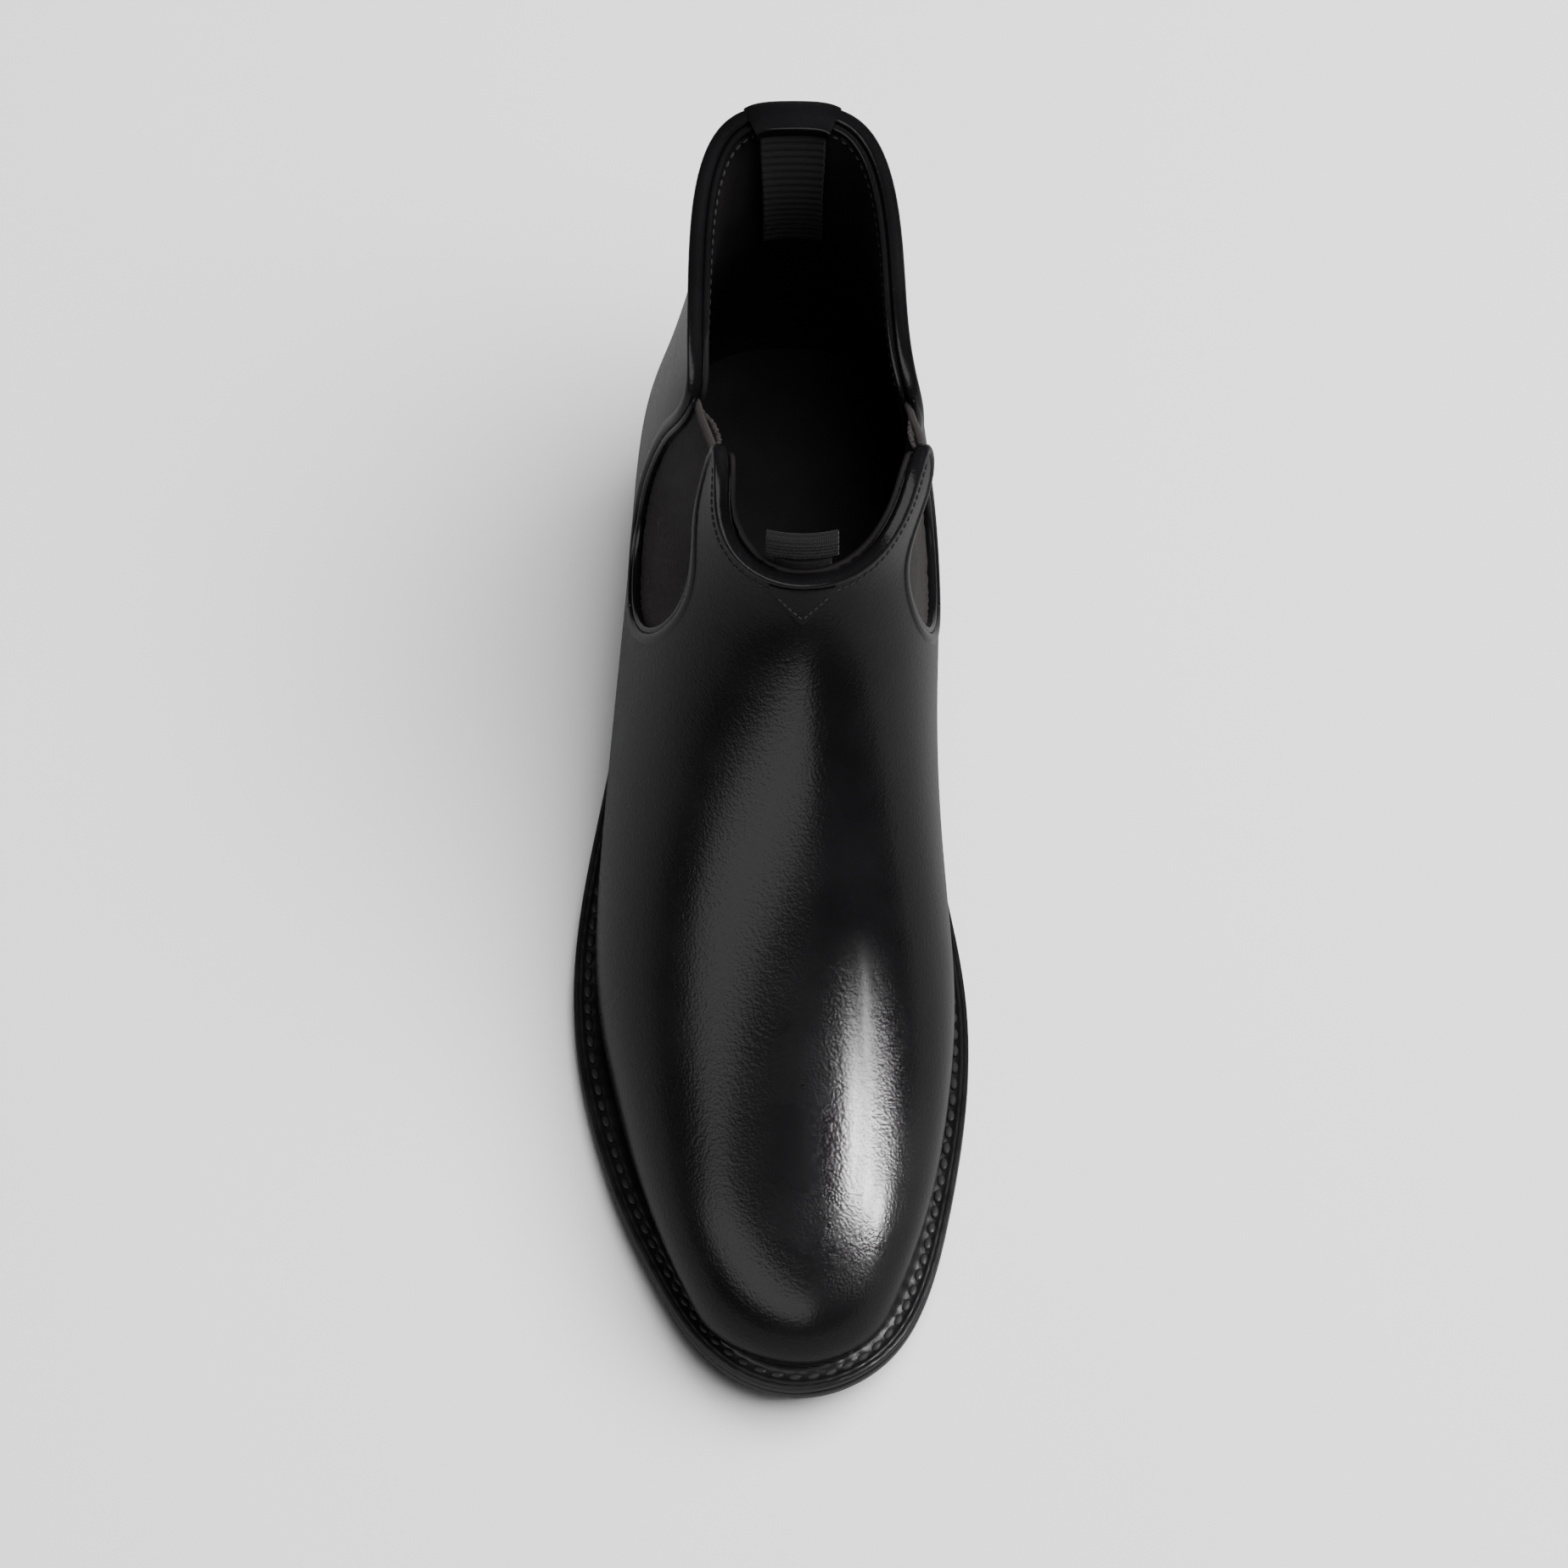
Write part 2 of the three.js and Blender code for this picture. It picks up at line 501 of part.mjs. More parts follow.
const ribbonTop = backTop - BACK_STRAP_INSIDE - LAYER_GAP;
// Grosgrain ribbon that hangs inside the back from under the strap.
function makeRibbon() {
  return shell(strapInner, strapInner + RIBBON_THICKNESS).intersect(across(backX, RIBBON_WIDTH))
    .intersect(between(ribbonTop - RIBBON_LENGTH, ribbonTop)).intersect(behind(goreMiddle));
}

// Small pointed leather stay stitched on the ridge below the front tab.
function makeFrontStay() {
  const [width, depth] = FRONT_STAY;
  const top = ridgeTop - BINDING_HEIGHT - 2 * LAYER_GAP;
  const shape = new THREE.Shape();
  shape.moveTo(ridgeX - width / 2, top + width);
  shape.lineTo(ridgeX - width / 2, top - FRONT_STAY_SIDE);
  shape.lineTo(ridgeX, top - depth);
  shape.lineTo(ridgeX + width / 2, top - FRONT_STAY_SIDE);
  shape.lineTo(ridgeX + width / 2, top + width);
  const geometry = new THREE.ExtrudeGeometry(shape, { depth: goreMiddle, bevelEnabled: false });
  geometry.applyMatrix4(new THREE.Matrix4().makeRotationX(Math.PI / 2));
  geometry.translate(0, goreMiddle, 0);
  return shell(-LAYER_GAP - FRONT_STAY_THICKNESS, -LAYER_GAP).intersect(toManifold(geometry))
    .intersect(belowBinding);
}

// ---------------------------------------------------------------- bottom
const weltRegion = planPrism(offsetLoop(sole, 0));
const weltInner = planPrism(offsetLoop(feather, -WELT_INSIDE));
const breast = HEEL_BREAST * scaleY;
const weltEnd = breast + WELT_PAST_BREAST;

const makeWeltRing = () => weltRegion.subtract(weltInner).intersect(featherSlab(-WELT, 0));
const makeOutsole = () => weltRegion.intersect(featherSlab(-bottomHeight, -WELT - LAYER_GAP));

function shankPrism(growth) {
  const half = SHANK_WIDTH / 2 + growth;
  const end = SHANK_LENGTH / 2 - SHANK_WIDTH / 2;
  const shape = new THREE.Shape();
  shape.absarc(0, end, half, 0, Math.PI, false);
  shape.absarc(0, -end, half, Math.PI, 2 * Math.PI, false);
  const geometry = new THREE.ExtrudeGeometry(shape, { depth: SKY, bevelEnabled: false, curveSegments: 8 });
  return toManifold(geometry.translate(0, breast + SHANK_IN_HEEL - SHANK_LENGTH / 2, -PAST));
}
const shankTop = liningBase - LAYER_GAP;
const shankSolid = (growth) => shankPrism(growth)
  .intersect(featherSlab(shankTop - SHANK_THICKNESS - growth, shankTop + growth));

function makeCork() {
  return planPrism(offsetLoop(feather, -LASTING_MARGIN - LAYER_GAP))
    .intersect(featherSlab(-WELT, liningBase - LAYER_GAP)).subtract(shankSolid(LAYER_GAP));
}

const makeInsole = () => lastBody(cavityDepth + LAYER_GAP).intersect(featherSlab(liningBase, insoleTop));
const makeSock = () => lastBody(cavityDepth + LAYER_GAP).intersect(featherSlab(insoleTop + LAYER_GAP, sockTop));

// The lock-stitched thread that runs on the welt beside the upper, as one strip.
function makeStitching() {
  const place = (side) => offsetLoop(sole, (side * STITCH_WIDTH) / 2 - STITCH_INSET);
  return planPrism(place(1)).subtract(planPrism(place(-1)))
    .intersect(featherSlab(LAYER_GAP, LAYER_GAP + STITCH_HEIGHT)).intersect(ahead(weltEnd));
}

// ---------------------------------------------------------------- heel
const heelRegion = planPrism(offsetLoop(sole, -HEEL_SET_IN)).intersect(behind(breast));
const underOutsole = featherSlab(-SKY, -bottomHeight - LAYER_GAP);

function nailPlaces() {
  const places = [];
  const [halfWidth, depth] = HEEL_NAIL_SPREAD;
  for (let i = 0; i < HEEL_NAIL_COUNT; i += 1) {
    const angle = Math.PI * (i / (HEEL_NAIL_COUNT - 1));
    places.push([backX / 2 + halfWidth * Math.cos(angle), breast + HEEL_NAIL_START + depth * Math.sin(angle)]);
  }
  return places;
}
const nailTop = TOP_PIECE + 2 * HEEL_LIFT;
function nails(radius, fromZ, toZ) {
  return nailPlaces().map(([x, y]) => {
    const rod = new THREE.CylinderGeometry(radius, radius, toZ - fromZ, 10);
    rod.rotateX(Math.PI / 2);
    return toManifold(rod.translate(x, y, (fromZ + toZ) / 2));
  });
}
const nailHoles = nails(HEEL_NAIL_RADIUS + LAYER_GAP, -LAYER_GAP, nailTop + LAYER_GAP)
  .reduce((all, hole) => all.add(hole));
const heelLayer = (fromZ, toZ) => heelRegion.intersect(between(fromZ, toZ)).subtract(nailHoles)
  .intersect(underOutsole);

// ---------------------------------------------------------------- assembly
const boot = new THREE.Group();
const parts = new THREE.Group();
boot.add(parts);

const BLACK_CALF = { color: 0x17161a, roughness: 0.32, metalness: 0 };
const BLACK_LINING = { color: 0x1b191b, roughness: 0.6, metalness: 0 };
const ELASTIC = { color: 0x1d1a1b, roughness: 0.85, metalness: 0 };
const RIBBON = { color: 0x151416, roughness: 0.7, metalness: 0 };
const BOARD = { color: 0x8a6a48, roughness: 0.8, metalness: 0 };
const CORK = { color: 0x8d6b45, roughness: 0.95, metalness: 0 };
const SOLE = { color: 0x131214, roughness: 0.35, metalness: 0 };
const RUBBER = { color: 0x141414, roughness: 0.6, metalness: 0 };
const THREAD = { color: 0x19181a, roughness: 0.6, metalness: 0 };
const STEEL = { color: 0x9c9da0, roughness: 0.35, metalness: 1 };

function addPart(name, shape, look) {
  const geometry = shape.isBufferGeometry ? shape : toGeometry(shape);
  const mesh = new THREE.Mesh(geometry, new THREE.MeshStandardMaterial(look));
  mesh.name = name;
  parts.add(mesh);
  return mesh;
}

addPart('upper', makeUpper(), BLACK_CALF);
const lining = makeLining();
addPart('vamp_lining', lining.intersect(ahead(liningSeam - LAYER_GAP / 2)), BLACK_LINING);
addPart('quarter_lining', lining.intersect(behind(liningSeam + LAYER_GAP / 2)), BLACK_LINING);
addPart('toe_puff', makeStiffener(TOE_PUFF), BOARD);
addPart('heel_counter', makeStiffener(HEEL_COUNTER), BOARD);
addPart('gore_elastic_outer', makeElastic(-HALF_SPAN, 0), ELASTIC);
addPart('gore_elastic_inner', makeElastic(0, HALF_SPAN), ELASTIC);
addPart('gore_binding_outer', makeGoreBinding(-HALF_SPAN, 0), BLACK_CALF);
addPart('gore_binding_inner', makeGoreBinding(0, HALF_SPAN), BLACK_CALF);
addPart('topline_binding_front', makeToplineBinding(ahead(goreMiddle)), BLACK_CALF);
addPart('topline_binding_back', makeToplineBinding(behind(goreMiddle)), BLACK_CALF);
addPart('front_stay', makeFrontStay(), BLACK_CALF);
addPart('front_tab_root', makeTabRoot(), RIBBON);
const frontTab = addPart('front_pull_tab', frontTabGeometry(), RIBBON);
frontTab.position.copy(tabHinge);
frontTab.rotation.x = THREE.MathUtils.degToRad(-FRONT_TAB_LEAN);
addPart('back_strap', makeBackStrap(), BLACK_CALF);
addPart('back_pull_ribbon', makeRibbon(), RIBBON);
addPart('sock_lining', makeSock(), BLACK_LINING);
addPart('insole', makeInsole(), BOARD);
addPart('cork_filler', makeCork(), CORK);
addPart('shank', shankSolid(0), STEEL);
const weltRing = makeWeltRing();
addPart('welt', weltRing.intersect(ahead(weltEnd)), SOLE);
addPart('heel_rand', weltRing.intersect(behind(weltEnd + LAYER_GAP)), SOLE);
addPart('welt_stitching', makeStitching(), THREAD);
addPart('outsole', makeOutsole(), SOLE);
addPart('heel_base', heelLayer(nailTop + 2 * LAYER_GAP, SKY), SOLE);
addPart('heel_lift_upper', heelLayer(TOP_PIECE + HEEL_LIFT + LAYER_GAP, nailTop), SOLE);
addPart('heel_lift_lower', heelLayer(TOP_PIECE + LAYER_GAP, TOP_PIECE + HEEL_LIFT), SOLE);
addPart('heel_top_piece', heelLayer(0, TOP_PIECE), RUBBER);
nails(HEEL_NAIL_RADIUS, NAIL_RECESS, nailTop).forEach((nail, i) => addPart(`heel_nail_${i + 1}`, nail, STEEL));

// The origin is the middle of the boot's underside.
const box = new THREE.Box3().setFromObject(boot, true);
const centre = box.getCenter(new THREE.Vector3());
parts.position.set(-centre.x, -centre.y, -box.min.z);

export default boot;
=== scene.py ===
"""Looks of a welted chelsea boot for the right foot, built around its packed CAD part."""

import json
import math

import bmesh
import bpy
import numpy as np
from mathutils import Matrix, Vector


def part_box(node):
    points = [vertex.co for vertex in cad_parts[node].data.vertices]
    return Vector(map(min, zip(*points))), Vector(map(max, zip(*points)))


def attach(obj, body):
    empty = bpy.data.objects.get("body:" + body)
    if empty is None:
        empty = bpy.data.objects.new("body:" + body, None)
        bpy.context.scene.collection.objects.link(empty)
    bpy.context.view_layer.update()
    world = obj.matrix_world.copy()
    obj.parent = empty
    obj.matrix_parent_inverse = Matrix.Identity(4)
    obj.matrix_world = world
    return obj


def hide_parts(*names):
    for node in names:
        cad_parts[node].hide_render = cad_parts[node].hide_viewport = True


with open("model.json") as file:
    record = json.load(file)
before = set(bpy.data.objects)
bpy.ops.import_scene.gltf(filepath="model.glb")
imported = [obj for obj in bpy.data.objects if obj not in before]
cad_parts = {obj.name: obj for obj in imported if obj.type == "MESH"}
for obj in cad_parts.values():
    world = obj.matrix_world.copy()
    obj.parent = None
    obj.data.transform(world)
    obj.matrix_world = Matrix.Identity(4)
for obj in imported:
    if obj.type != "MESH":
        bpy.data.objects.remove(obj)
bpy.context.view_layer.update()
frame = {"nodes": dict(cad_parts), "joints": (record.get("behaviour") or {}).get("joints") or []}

bl_info = {
    "name": "Chelsea boot",
    "version": (1, 0, 0),
    "blender": (4, 5, 0),
    "location": "3D View > Sidebar > Boot",
    "description": "Builds the visible pieces of a chelsea boot round its CAD frame",
    "category": "Object",
}

MM = 0.001

# ------------------------------------------------------------------ shape of the boot
# Lengths here are in millimetres: y from the toe tip, z from the floor.
# Each section of the last runs from a ridge point to a base point. Its columns are ridge y and z,
# base y and z, outer and inner half-width, the share of the way up where it is widest, the
# exponents of its outer upper, inner upper and lower curves, and the x of its base and ridge.
SECTIONS = np.array([
    (6.5, 17.5, 34, 8.5, 24, 21, 0.45, 1.65, 1.65, 3.0, 4.0, 4.6),
    (5, 24, 36, 8.2, 25.5, 22.5, 0.45, 1.75, 1.75, 3.0, 3.6, 4.6),
    (6, 30.5, 39, 7.8, 27.5, 24.5, 0.45, 1.85, 1.85, 3.0, 3.2, 4.6),
    (10.5, 38, 43, 7.2, 30, 27, 0.42, 1.95, 1.95, 3.0, 2.7, 4.6),
    (19.5, 44.5, 49, 6.2, 33.5, 30.5, 0.4, 2.05, 2.05, 3.2, 2.0, 4.6),
    (34, 50.5, 58, 4.8, 37.6, 35, 0.38, 2.1, 2.1, 3.6, 1.0, 4.6),
    (53, 56, 70, 3.2, 41.3, 39.3, 0.36, 2.05, 2.1, 3.8, -0.5, 4.6),
    (75, 63, 87, 1.8, 44.8, 43, 0.34, 2.0, 2.05, 4.0, -2.0, 4.6),
    (98, 72.5, 108, 1, 48.2, 44.6, 0.32, 1.95, 2.0, 4.0, -2.5, 4.6),
    (119, 84, 132, 2, 48.9, 43.2, 0.31, 1.9, 2.0, 3.8, -2.5, 4.6),
    (138, 97.5, 160, 6.5, 47.5, 40.8, 0.31, 1.85, 2.05, 3.4, -2.0, 4.6),
    (153, 111, 194, 14, 45.4, 39.4, 0.33, 1.85, 2.1, 3.0, -1.2, 4.6),
    (164, 124, 234, 21, 43, 39, 0.38, 1.9, 2.2, 2.7, -0.5, 4.6),
    (170, 136, 272, 28, 41.5, 36.6, 0.42, 2.0, 2.4, 3.4, 0.7, 4.6),
    (173, 147, 292, 36, 39.2, 34.4, 0.44, 2.1, 2.8, 3.4, 1.2, 4.6),
    (174, 157, 297, 60, 35.6, 32.4, 0.46, 2.1, 3.0, 2.6, 1.6, 4.6),
    (174, 166, 296, 88, 32, 30.2, 0.48, 2.0, 2.8, 2.4, 2.0, 4.6),
    (174, 175, 292, 114, 28.5, 28.2, 0.48, 1.95, 2.4, 2.8, 2.2, 4.6),
    (174, 184, 291, 138, 27, 27.2, 0.48, 1.8, 2.3, 3.2, 2.2, 4.6),
    (174, 193, 292, 161, 26.8, 27.2, 0.48, 1.9, 2.3, 3.4, 2.2, 4.6),
    (174, 203, 294, 184, 26.8, 27.2, 0.48, 2.0, 2.3, 3.4, 2.2, 4.6),
])
TOE_SECTION, TOP_SECTION = 6.0, len(SECTIONS) - 1.0  # walls are looked for between these
# The leather beside the side openings leans towards the inner side: the middle of that area in
# the side view, how far it spreads, and how far the outer and the inner horn move in x.
LEAN_MIDDLE, LEAN_SPREAD, LEAN_OUTER, LEAN_INNER = (204, 152), (17, 26), 4.5, 6.5
# Underside of the outsole: toe spring, ball, waist and heel pitch.
SOLE_SPRING = np.array([
    (-12, 12.6), (0, 11), (20, 7.8), (50, 3.6), (80, 0.8), (105, 0), (130, 1.8), (160, 6.8),
    (190, 14.2), (215, 19.6), (240, 23.2), (270, 26), (300, 27.8), (312, 28.3),
])
# Side view of the cut edge of the leather: front topline, horn, round the elastic, quarter, back.
EDGE = np.array([
    (150, 138), (165, 138.3), (171, 138.6), (177, 139.7), (183, 143.5), (190, 150), (196.5, 154.2),
    (201.6, 154), (202.4, 149.5), (199.5, 142), (191.5, 130), (183, 116), (179, 100), (184, 82),
    (198, 70.5), (213, 72), (223, 84), (226, 102), (223.5, 122), (220.8, 134), (222, 143),
    (228, 149.6), (240, 154.6), (262, 160), (291, 166), (310, 169),
])
RIDGE_KNOT, HORN_KNOT, GORE_KNOT, QUARTER_KNOT, BACK_KNOT = 0, 6, 14, 20, 25
# Side view of the elastic's own top edge.
ELASTIC_TOP = np.array([(180, 148.5), (190, 147.5), (200, 145.5), (210, 142.5), (220, 140), (240, 138)])
# Front edge of the elastic, behind the horn: z and y.
ELASTIC_FRONT = np.array([(60, 165), (100, 171), (116, 176), (130, 184), (145, 193), (150, 196)])
ELASTIC_HOLLOW = 2.4  # how far the middle of the elastic lies deeper than its edges
# Plan of the outsole from the toe tip round the inner side, heel and outer side.
SOLE_OUTLINE = np.array([
    (4, 0), (17, 3.2), (28, 11.5), (36, 25), (42.5, 48), (47, 74), (48.8, 95), (48, 115), (44, 138),
    (39.5, 162), (37.8, 186), (37.4, 210), (38, 235), (37, 256), (31, 277), (19, 293), (2, 299.5),
    (-15, 293.5), (-28, 277.5), (-35.5, 256), (-38.8, 235), (-41.5, 210), (-45, 185), (-50, 160),
    (-54.4, 135), (-55.8, 113), (-53.5, 90), (-48.7, 70), (-41.5, 49), (-33, 31), (-23, 14.5),
    (-10, 3.5),
])
UPPER_LEATHER = 1.8
LINING_DEPTH = 3.9
LINING_LEATHER = 1.2
CAVITY_DEPTH = LINING_DEPTH + LINING_LEATHER
BOTTOM = 8.35  # outsole, gap and welt
OUTSOLE = 5.0
LAYER_GAP = 0.35
BREAST_Y = 222.0
WELT_END_Y = 228.0
RIDGE_X, BACK_X = 4.6, 2.2
FRONT_TOP, QUARTER_TOP, BACK_TOP = 138.0, 134.0, 165.6  # heights of the topline
LINING_JOIN_Y = 203.0
CREST_SOFTNESS = 0.22


def spline(knots, values, at):
    """Smooth curve through values at the knots, read at other places."""
    knots, at = np.asarray(knots, float), np.atleast_1d(np.asarray(at, float))
    values = np.asarray(values, float).reshape(len(knots), -1)
    gap = np.diff(knots)
    slope = np.diff(values, axis=0) / gap[:, None]
    matrix, right = np.eye(len(knots)), np.zeros_like(values)
    for i in range(1, len(knots) - 1):
        matrix[i, i - 1:i + 2] = gap[i - 1], 2 * (gap[i - 1] + gap[i]), gap[i]
        right[i] = 6 * (slope[i] - slope[i - 1])
    bend = np.linalg.solve(matrix, right)
    i = np.clip(np.searchsorted(knots, at) - 1, 0, len(knots) - 2)
    step, width = (at - knots[i])[:, None], gap[i][:, None]
    first = slope[i] - width * (2 * bend[i] + bend[i + 1]) / 6
    third = (bend[i + 1] - bend[i]) / (6 * width)
    return values[i] + step * (first + step * (bend[i] / 2 + step * third))


def lengths_along(points):
    """Distance of each point from the first, measured along the line."""
    steps = np.linalg.norm(np.diff(points, axis=0), axis=1)
    return np.concatenate([[0.0], np.cumsum(steps)])


def closed_curve(points, count):
    """Evenly spaced points of a smooth closed curve through the given ones."""
    lap = np.vstack([points, points, points, points[:1]])
    run = lengths_along(lap)
    start, end = run[len(points)], run[2 * len(points)]
    fine = spline(run, lap, np.linspace(start, end, 6 * count + 1))
    at = np.linspace(0, lengths_along(fine)[-1], count + 1)[:-1]
    return np.stack([np.interp(at, lengths_along(fine), fine[:, k]) for k in range(2)], 1)


def offset_loop(loop, distance):
    """A plan outline moved outwards."""
    run = np.roll(loop, -1, axis=0) - np.roll(loop, 1, axis=0)
    run /= np.linalg.norm(run, axis=1)[:, None]
    return loop + distance * np.stack([run[:, 1], -run[:, 0]], 1)


SOLE_POINTS = 720
sole_loop = closed_curve(SOLE_OUTLINE, SOLE_POINTS)
sole_low, sole_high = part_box("outsole")
sole_middle = (sole_loop.min(0) + sole_loop.max(0)) / 2
frame_middle = (sole_low + sole_high) / 2
SHIFT = Vector((frame_middle.x / MM - sole_middle[0], frame_middle.y / MM - sole_middle[1], 0))
TO_FRAME = Matrix.Scale(MM, 4) @ Matrix.Translation(SHIFT)


def spring(y):
    """Height of the outsole's underside."""
    return spline(SOLE_SPRING[:, 0], SOLE_SPRING[:, 1], np.clip(y, -12, 312))[:, 0]


def feather(y):
    """Height where the upper meets the welt."""
    return spring(y) + BOTTOM


def soft_power(value, curve):
    """Superellipse coordinate whose ends are rounded, from a squared sine or cosine."""
    least = CREST_SOFTNESS ** curve
    whole = (1 + CREST_SOFTNESS ** 2) ** (curve / 2) - least
    return np.sqrt(np.maximum((value * whole + least) ** (2 / curve) - CREST_SOFTNESS ** 2, 0))


def soft_power_inverse(share, curve):
    """The squared sine or cosine that gives a superellipse coordinate."""
    least = CREST_SOFTNESS ** curve
    whole = (1 + CREST_SOFTNESS ** 2) ** (curve / 2) - least
    return np.clip(((share ** 2 + CREST_SOFTNESS ** 2) ** (curve / 2) - least) / whole, 0, 1)


def last_surface(u, angle):
    """Points of the last. Angle 0 is the ridge, half a turn the base, negative the outer side."""
    at = spline(np.arange(len(SECTIONS)), SECTIONS, u).T
    ridge_y, ridge_z, base_y, base_z, outer, inner, widest = at[:7]
    outer_curve, inner_curve, lower_curve, base_x, ridge_x = at[7:]
    is_outer = angle < 0
    upper_curve = np.where(is_outer, outer_curve, inner_curve)
    curve = np.where(np.cos(angle) >= 0, upper_curve, lower_curve)
    rise = soft_power(np.cos(angle) ** 2, curve)
    reach = soft_power(np.sin(angle) ** 2, curve)
    share = np.where(np.cos(angle) >= 0, widest + (1 - widest) * rise, widest * (1 - rise))
    half_width = np.where(is_outer, -outer, inner)
    y = base_y + (ridge_y - base_y) * share
    z = base_z + (ridge_z - base_z) * share
    off_y, off_z = (y - LEAN_MIDDLE[0]) / LEAN_SPREAD[0], (z - LEAN_MIDDLE[1]) / LEAN_SPREAD[1]
    lean = np.where(is_outer, LEAN_OUTER, LEAN_INNER) * np.abs(np.sin(angle))
    x = base_x + (ridge_x - base_x) * share + half_width * reach
    return np.stack([x + lean * np.exp(-off_y ** 2 - off_z ** 2), y, z], 1)


def last_normals(u, angle):
    """Outward normals of the last."""
    along = last_surface(u + 0.02, angle) - last_surface(u - 0.02, angle)
    round_it = last_surface(u, angle + 0.02) - last_surface(u, angle - 0.02)
    normal = np.cross(round_it, along)
    return normal / np.linalg.norm(normal, axis=1)[:, None]


def layer(u, angle, depth):
    """Points at a depth below the last's surface."""
    return last_surface(u, angle) - last_normals(u, angle) * np.asarray(depth).reshape(-1, 1)


def halve(below, low, high, rounds=36):
    """The places between low and high where below(place) turns from true to false."""
    for _ in range(rounds):
        middle = (low + high) / 2
        under = below(middle)
        low, high = np.where(under, middle, low), np.where(under, high, middle)
    return (low + high) / 2


def from_side_view(points, side):
    """Section and angle of the surface seen at side-view points, and their share of the way up."""
    y, z = points[:, 0], points[:, 1]
    index = np.arange(len(SECTIONS))

    def is_behind(u):
        at = spline(index, SECTIONS[:, :4], u).T
        return (at[0] - at[2]) * (z - at[3]) - (at[1] - at[3]) * (y - at[2]) < 0

    u = halve(is_behind, np.zeros(len(y)), np.full(len(y), TOP_SECTION))
    at = spline(index, SECTIONS, u).T
    run_y, run_z = at[0] - at[2], at[1] - at[3]
    share = ((y - at[2]) * run_y + (z - at[3]) * run_z) / (run_y ** 2 + run_z ** 2)
    widest = at[6]
    upper = share >= widest
    rise = np.where(upper, (share - widest) / (1 - widest), 1 - share / widest)
    curve = np.where(upper, at[7] if side < 0 else at[8], at[9])
    turn = np.arccos(np.sqrt(soft_power_inverse(np.clip(rise, 0, 1), curve)))
    return u, side * np.where(upper, turn, math.pi - turn), share


def wall_place(x, z, front):
    """Section and angle of the wall at given x and z, at the front ridge or at the back."""
    side = np.where(x < (RIDGE_X if front else BACK_X), -1.0, 1.0)
    turn = np.full(len(x), 0.2 if front else math.pi - 0.2)
    for _ in range(7):
        low, high = np.full(len(x), TOE_SECTION), np.full(len(x), TOP_SECTION)
        u = halve(lambda at: last_surface(at, side * turn)[:, 2] < z, low, high)
        near, far = (0.0, math.pi / 2) if front else (math.pi, math.pi / 2)
        turn = halve(lambda at: side * last_surface(u, side * at)[:, 0] < side * x,
                     np.full(len(x), near), np.full(len(x), far))
    return u, side * turn


# ------------------------------------------------------------------ the cut edge
edge_run = lengths_along(EDGE)
EDGE_STEPS = 5000


def edge_line(first, last, inset=0.0, steps=EDGE_STEPS):
    """Side-view line of the cut edge between two of its knots, moved into the leather."""
    at = np.linspace(edge_run[first], edge_run[last], steps)
    line = spline(edge_run, EDGE, at)
    ahead = spline(edge_run, EDGE, at + 0.05) - spline(edge_run, EDGE, at - 0.05)
    ahead /= np.linalg.norm(ahead, axis=1)[:, None]
    return line + inset * np.stack([ahead[:, 1], -ahead[:, 0]], 1)


def distance_to(line, points):
    """Distance of side-view points from a side-view line."""
    best = np.full(len(points), 1e9)
    for a, b in zip(line[:-1], line[1:]):
        run = b - a
        share = np.clip(((points - a) @ run) / (run @ run), 0, 1)
        best = np.minimum(best, np.hypot(*(points - a - share[:, None] * run).T))
    return best


def is_inside(loop, points):
    """Whether side-view points lie within a closed outline."""
    inside = np.zeros(len(points), bool)
    for a, b in zip(loop, np.roll(loop, -1, axis=0)):
        crosses = (a[1] > points[:, 1]) != (b[1] > points[:, 1])
        if crosses.any():
            at = a[0] + (points[:, 1] - a[1]) * (b[0] - a[0]) / (b[1] - a[1] + 1e-12)
            inside ^= crosses & (points[:, 0] < at)
    return inside


cut_line = edge_line(RIDGE_KNOT, BACK_KNOT, steps=420)
cut_region = np.vstack([[(-90, 138)], cut_line, [(420, 169), (420, 500), (-90, 500)]])


def leather_margin(points):
    """How far points lie inside the leather from the cut edge; negative in the opening."""
    side_view = points[:, 1:]
    near = distance_to(np.vstack([[(-90, 138)], cut_line, [(420, 169)]]), side_view)
    return np.where(is_inside(cut_region, side_view), -near, near)


class Path:
    """A line on the boot with its points, outward normals and sideways directions."""

    def __init__(self, points, normals, step=None):
        if step:
            run = lengths_along(points)
            at = np.linspace(0, run[-1], max(int(run[-1] / step), 2) + 1)
            points, normals = (
                np.stack([np.interp(at, run, values[:, k]) for k in range(3)], 1)
                for values in (points, normals)
            )
        ahead = np.gradient(points, axis=0)
        self.ahead = ahead / np.linalg.norm(ahead, axis=1)[:, None]
        normals = normals - self.ahead * np.sum(normals * self.ahead, 1)[:, None]
        self.normals = normals / np.linalg.norm(normals, axis=1)[:, None]
        self.sideways = np.cross(self.normals, self.ahead)
        self.points = points
        self.run = lengths_along(points)


def on_side(line, side, depth):
    """A side-view line laid on one side of the boot, without what misses the boot."""
    u, angle, share = from_side_view(line, side)
    keep = (share > 0) & (share < 1)
    u, angle = u[keep], angle[keep]
    return layer(u, angle, np.full(len(u), depth)), last_normals(u, angle)


def edge_path(first, last, inset=0.0, depth=0.0, step=0.8):
    """The cut edge between two knots on both sides, joined over the ridge or the back."""
    line = edge_line(first, last, inset)
    outer, outer_normals = on_side(line, -1, depth)
    inner, inner_normals = on_side(line, 1, depth)
    if first == RIDGE_KNOT:
        points = np.vstack([outer[::-1], inner])
        normals = np.vstack([outer_normals[::-1], inner_normals])
    else:
        points = np.vstack([inner, outer[::-1]])
        normals = np.vstack([inner_normals, outer_normals[::-1]])
    return Path(points, normals, step)


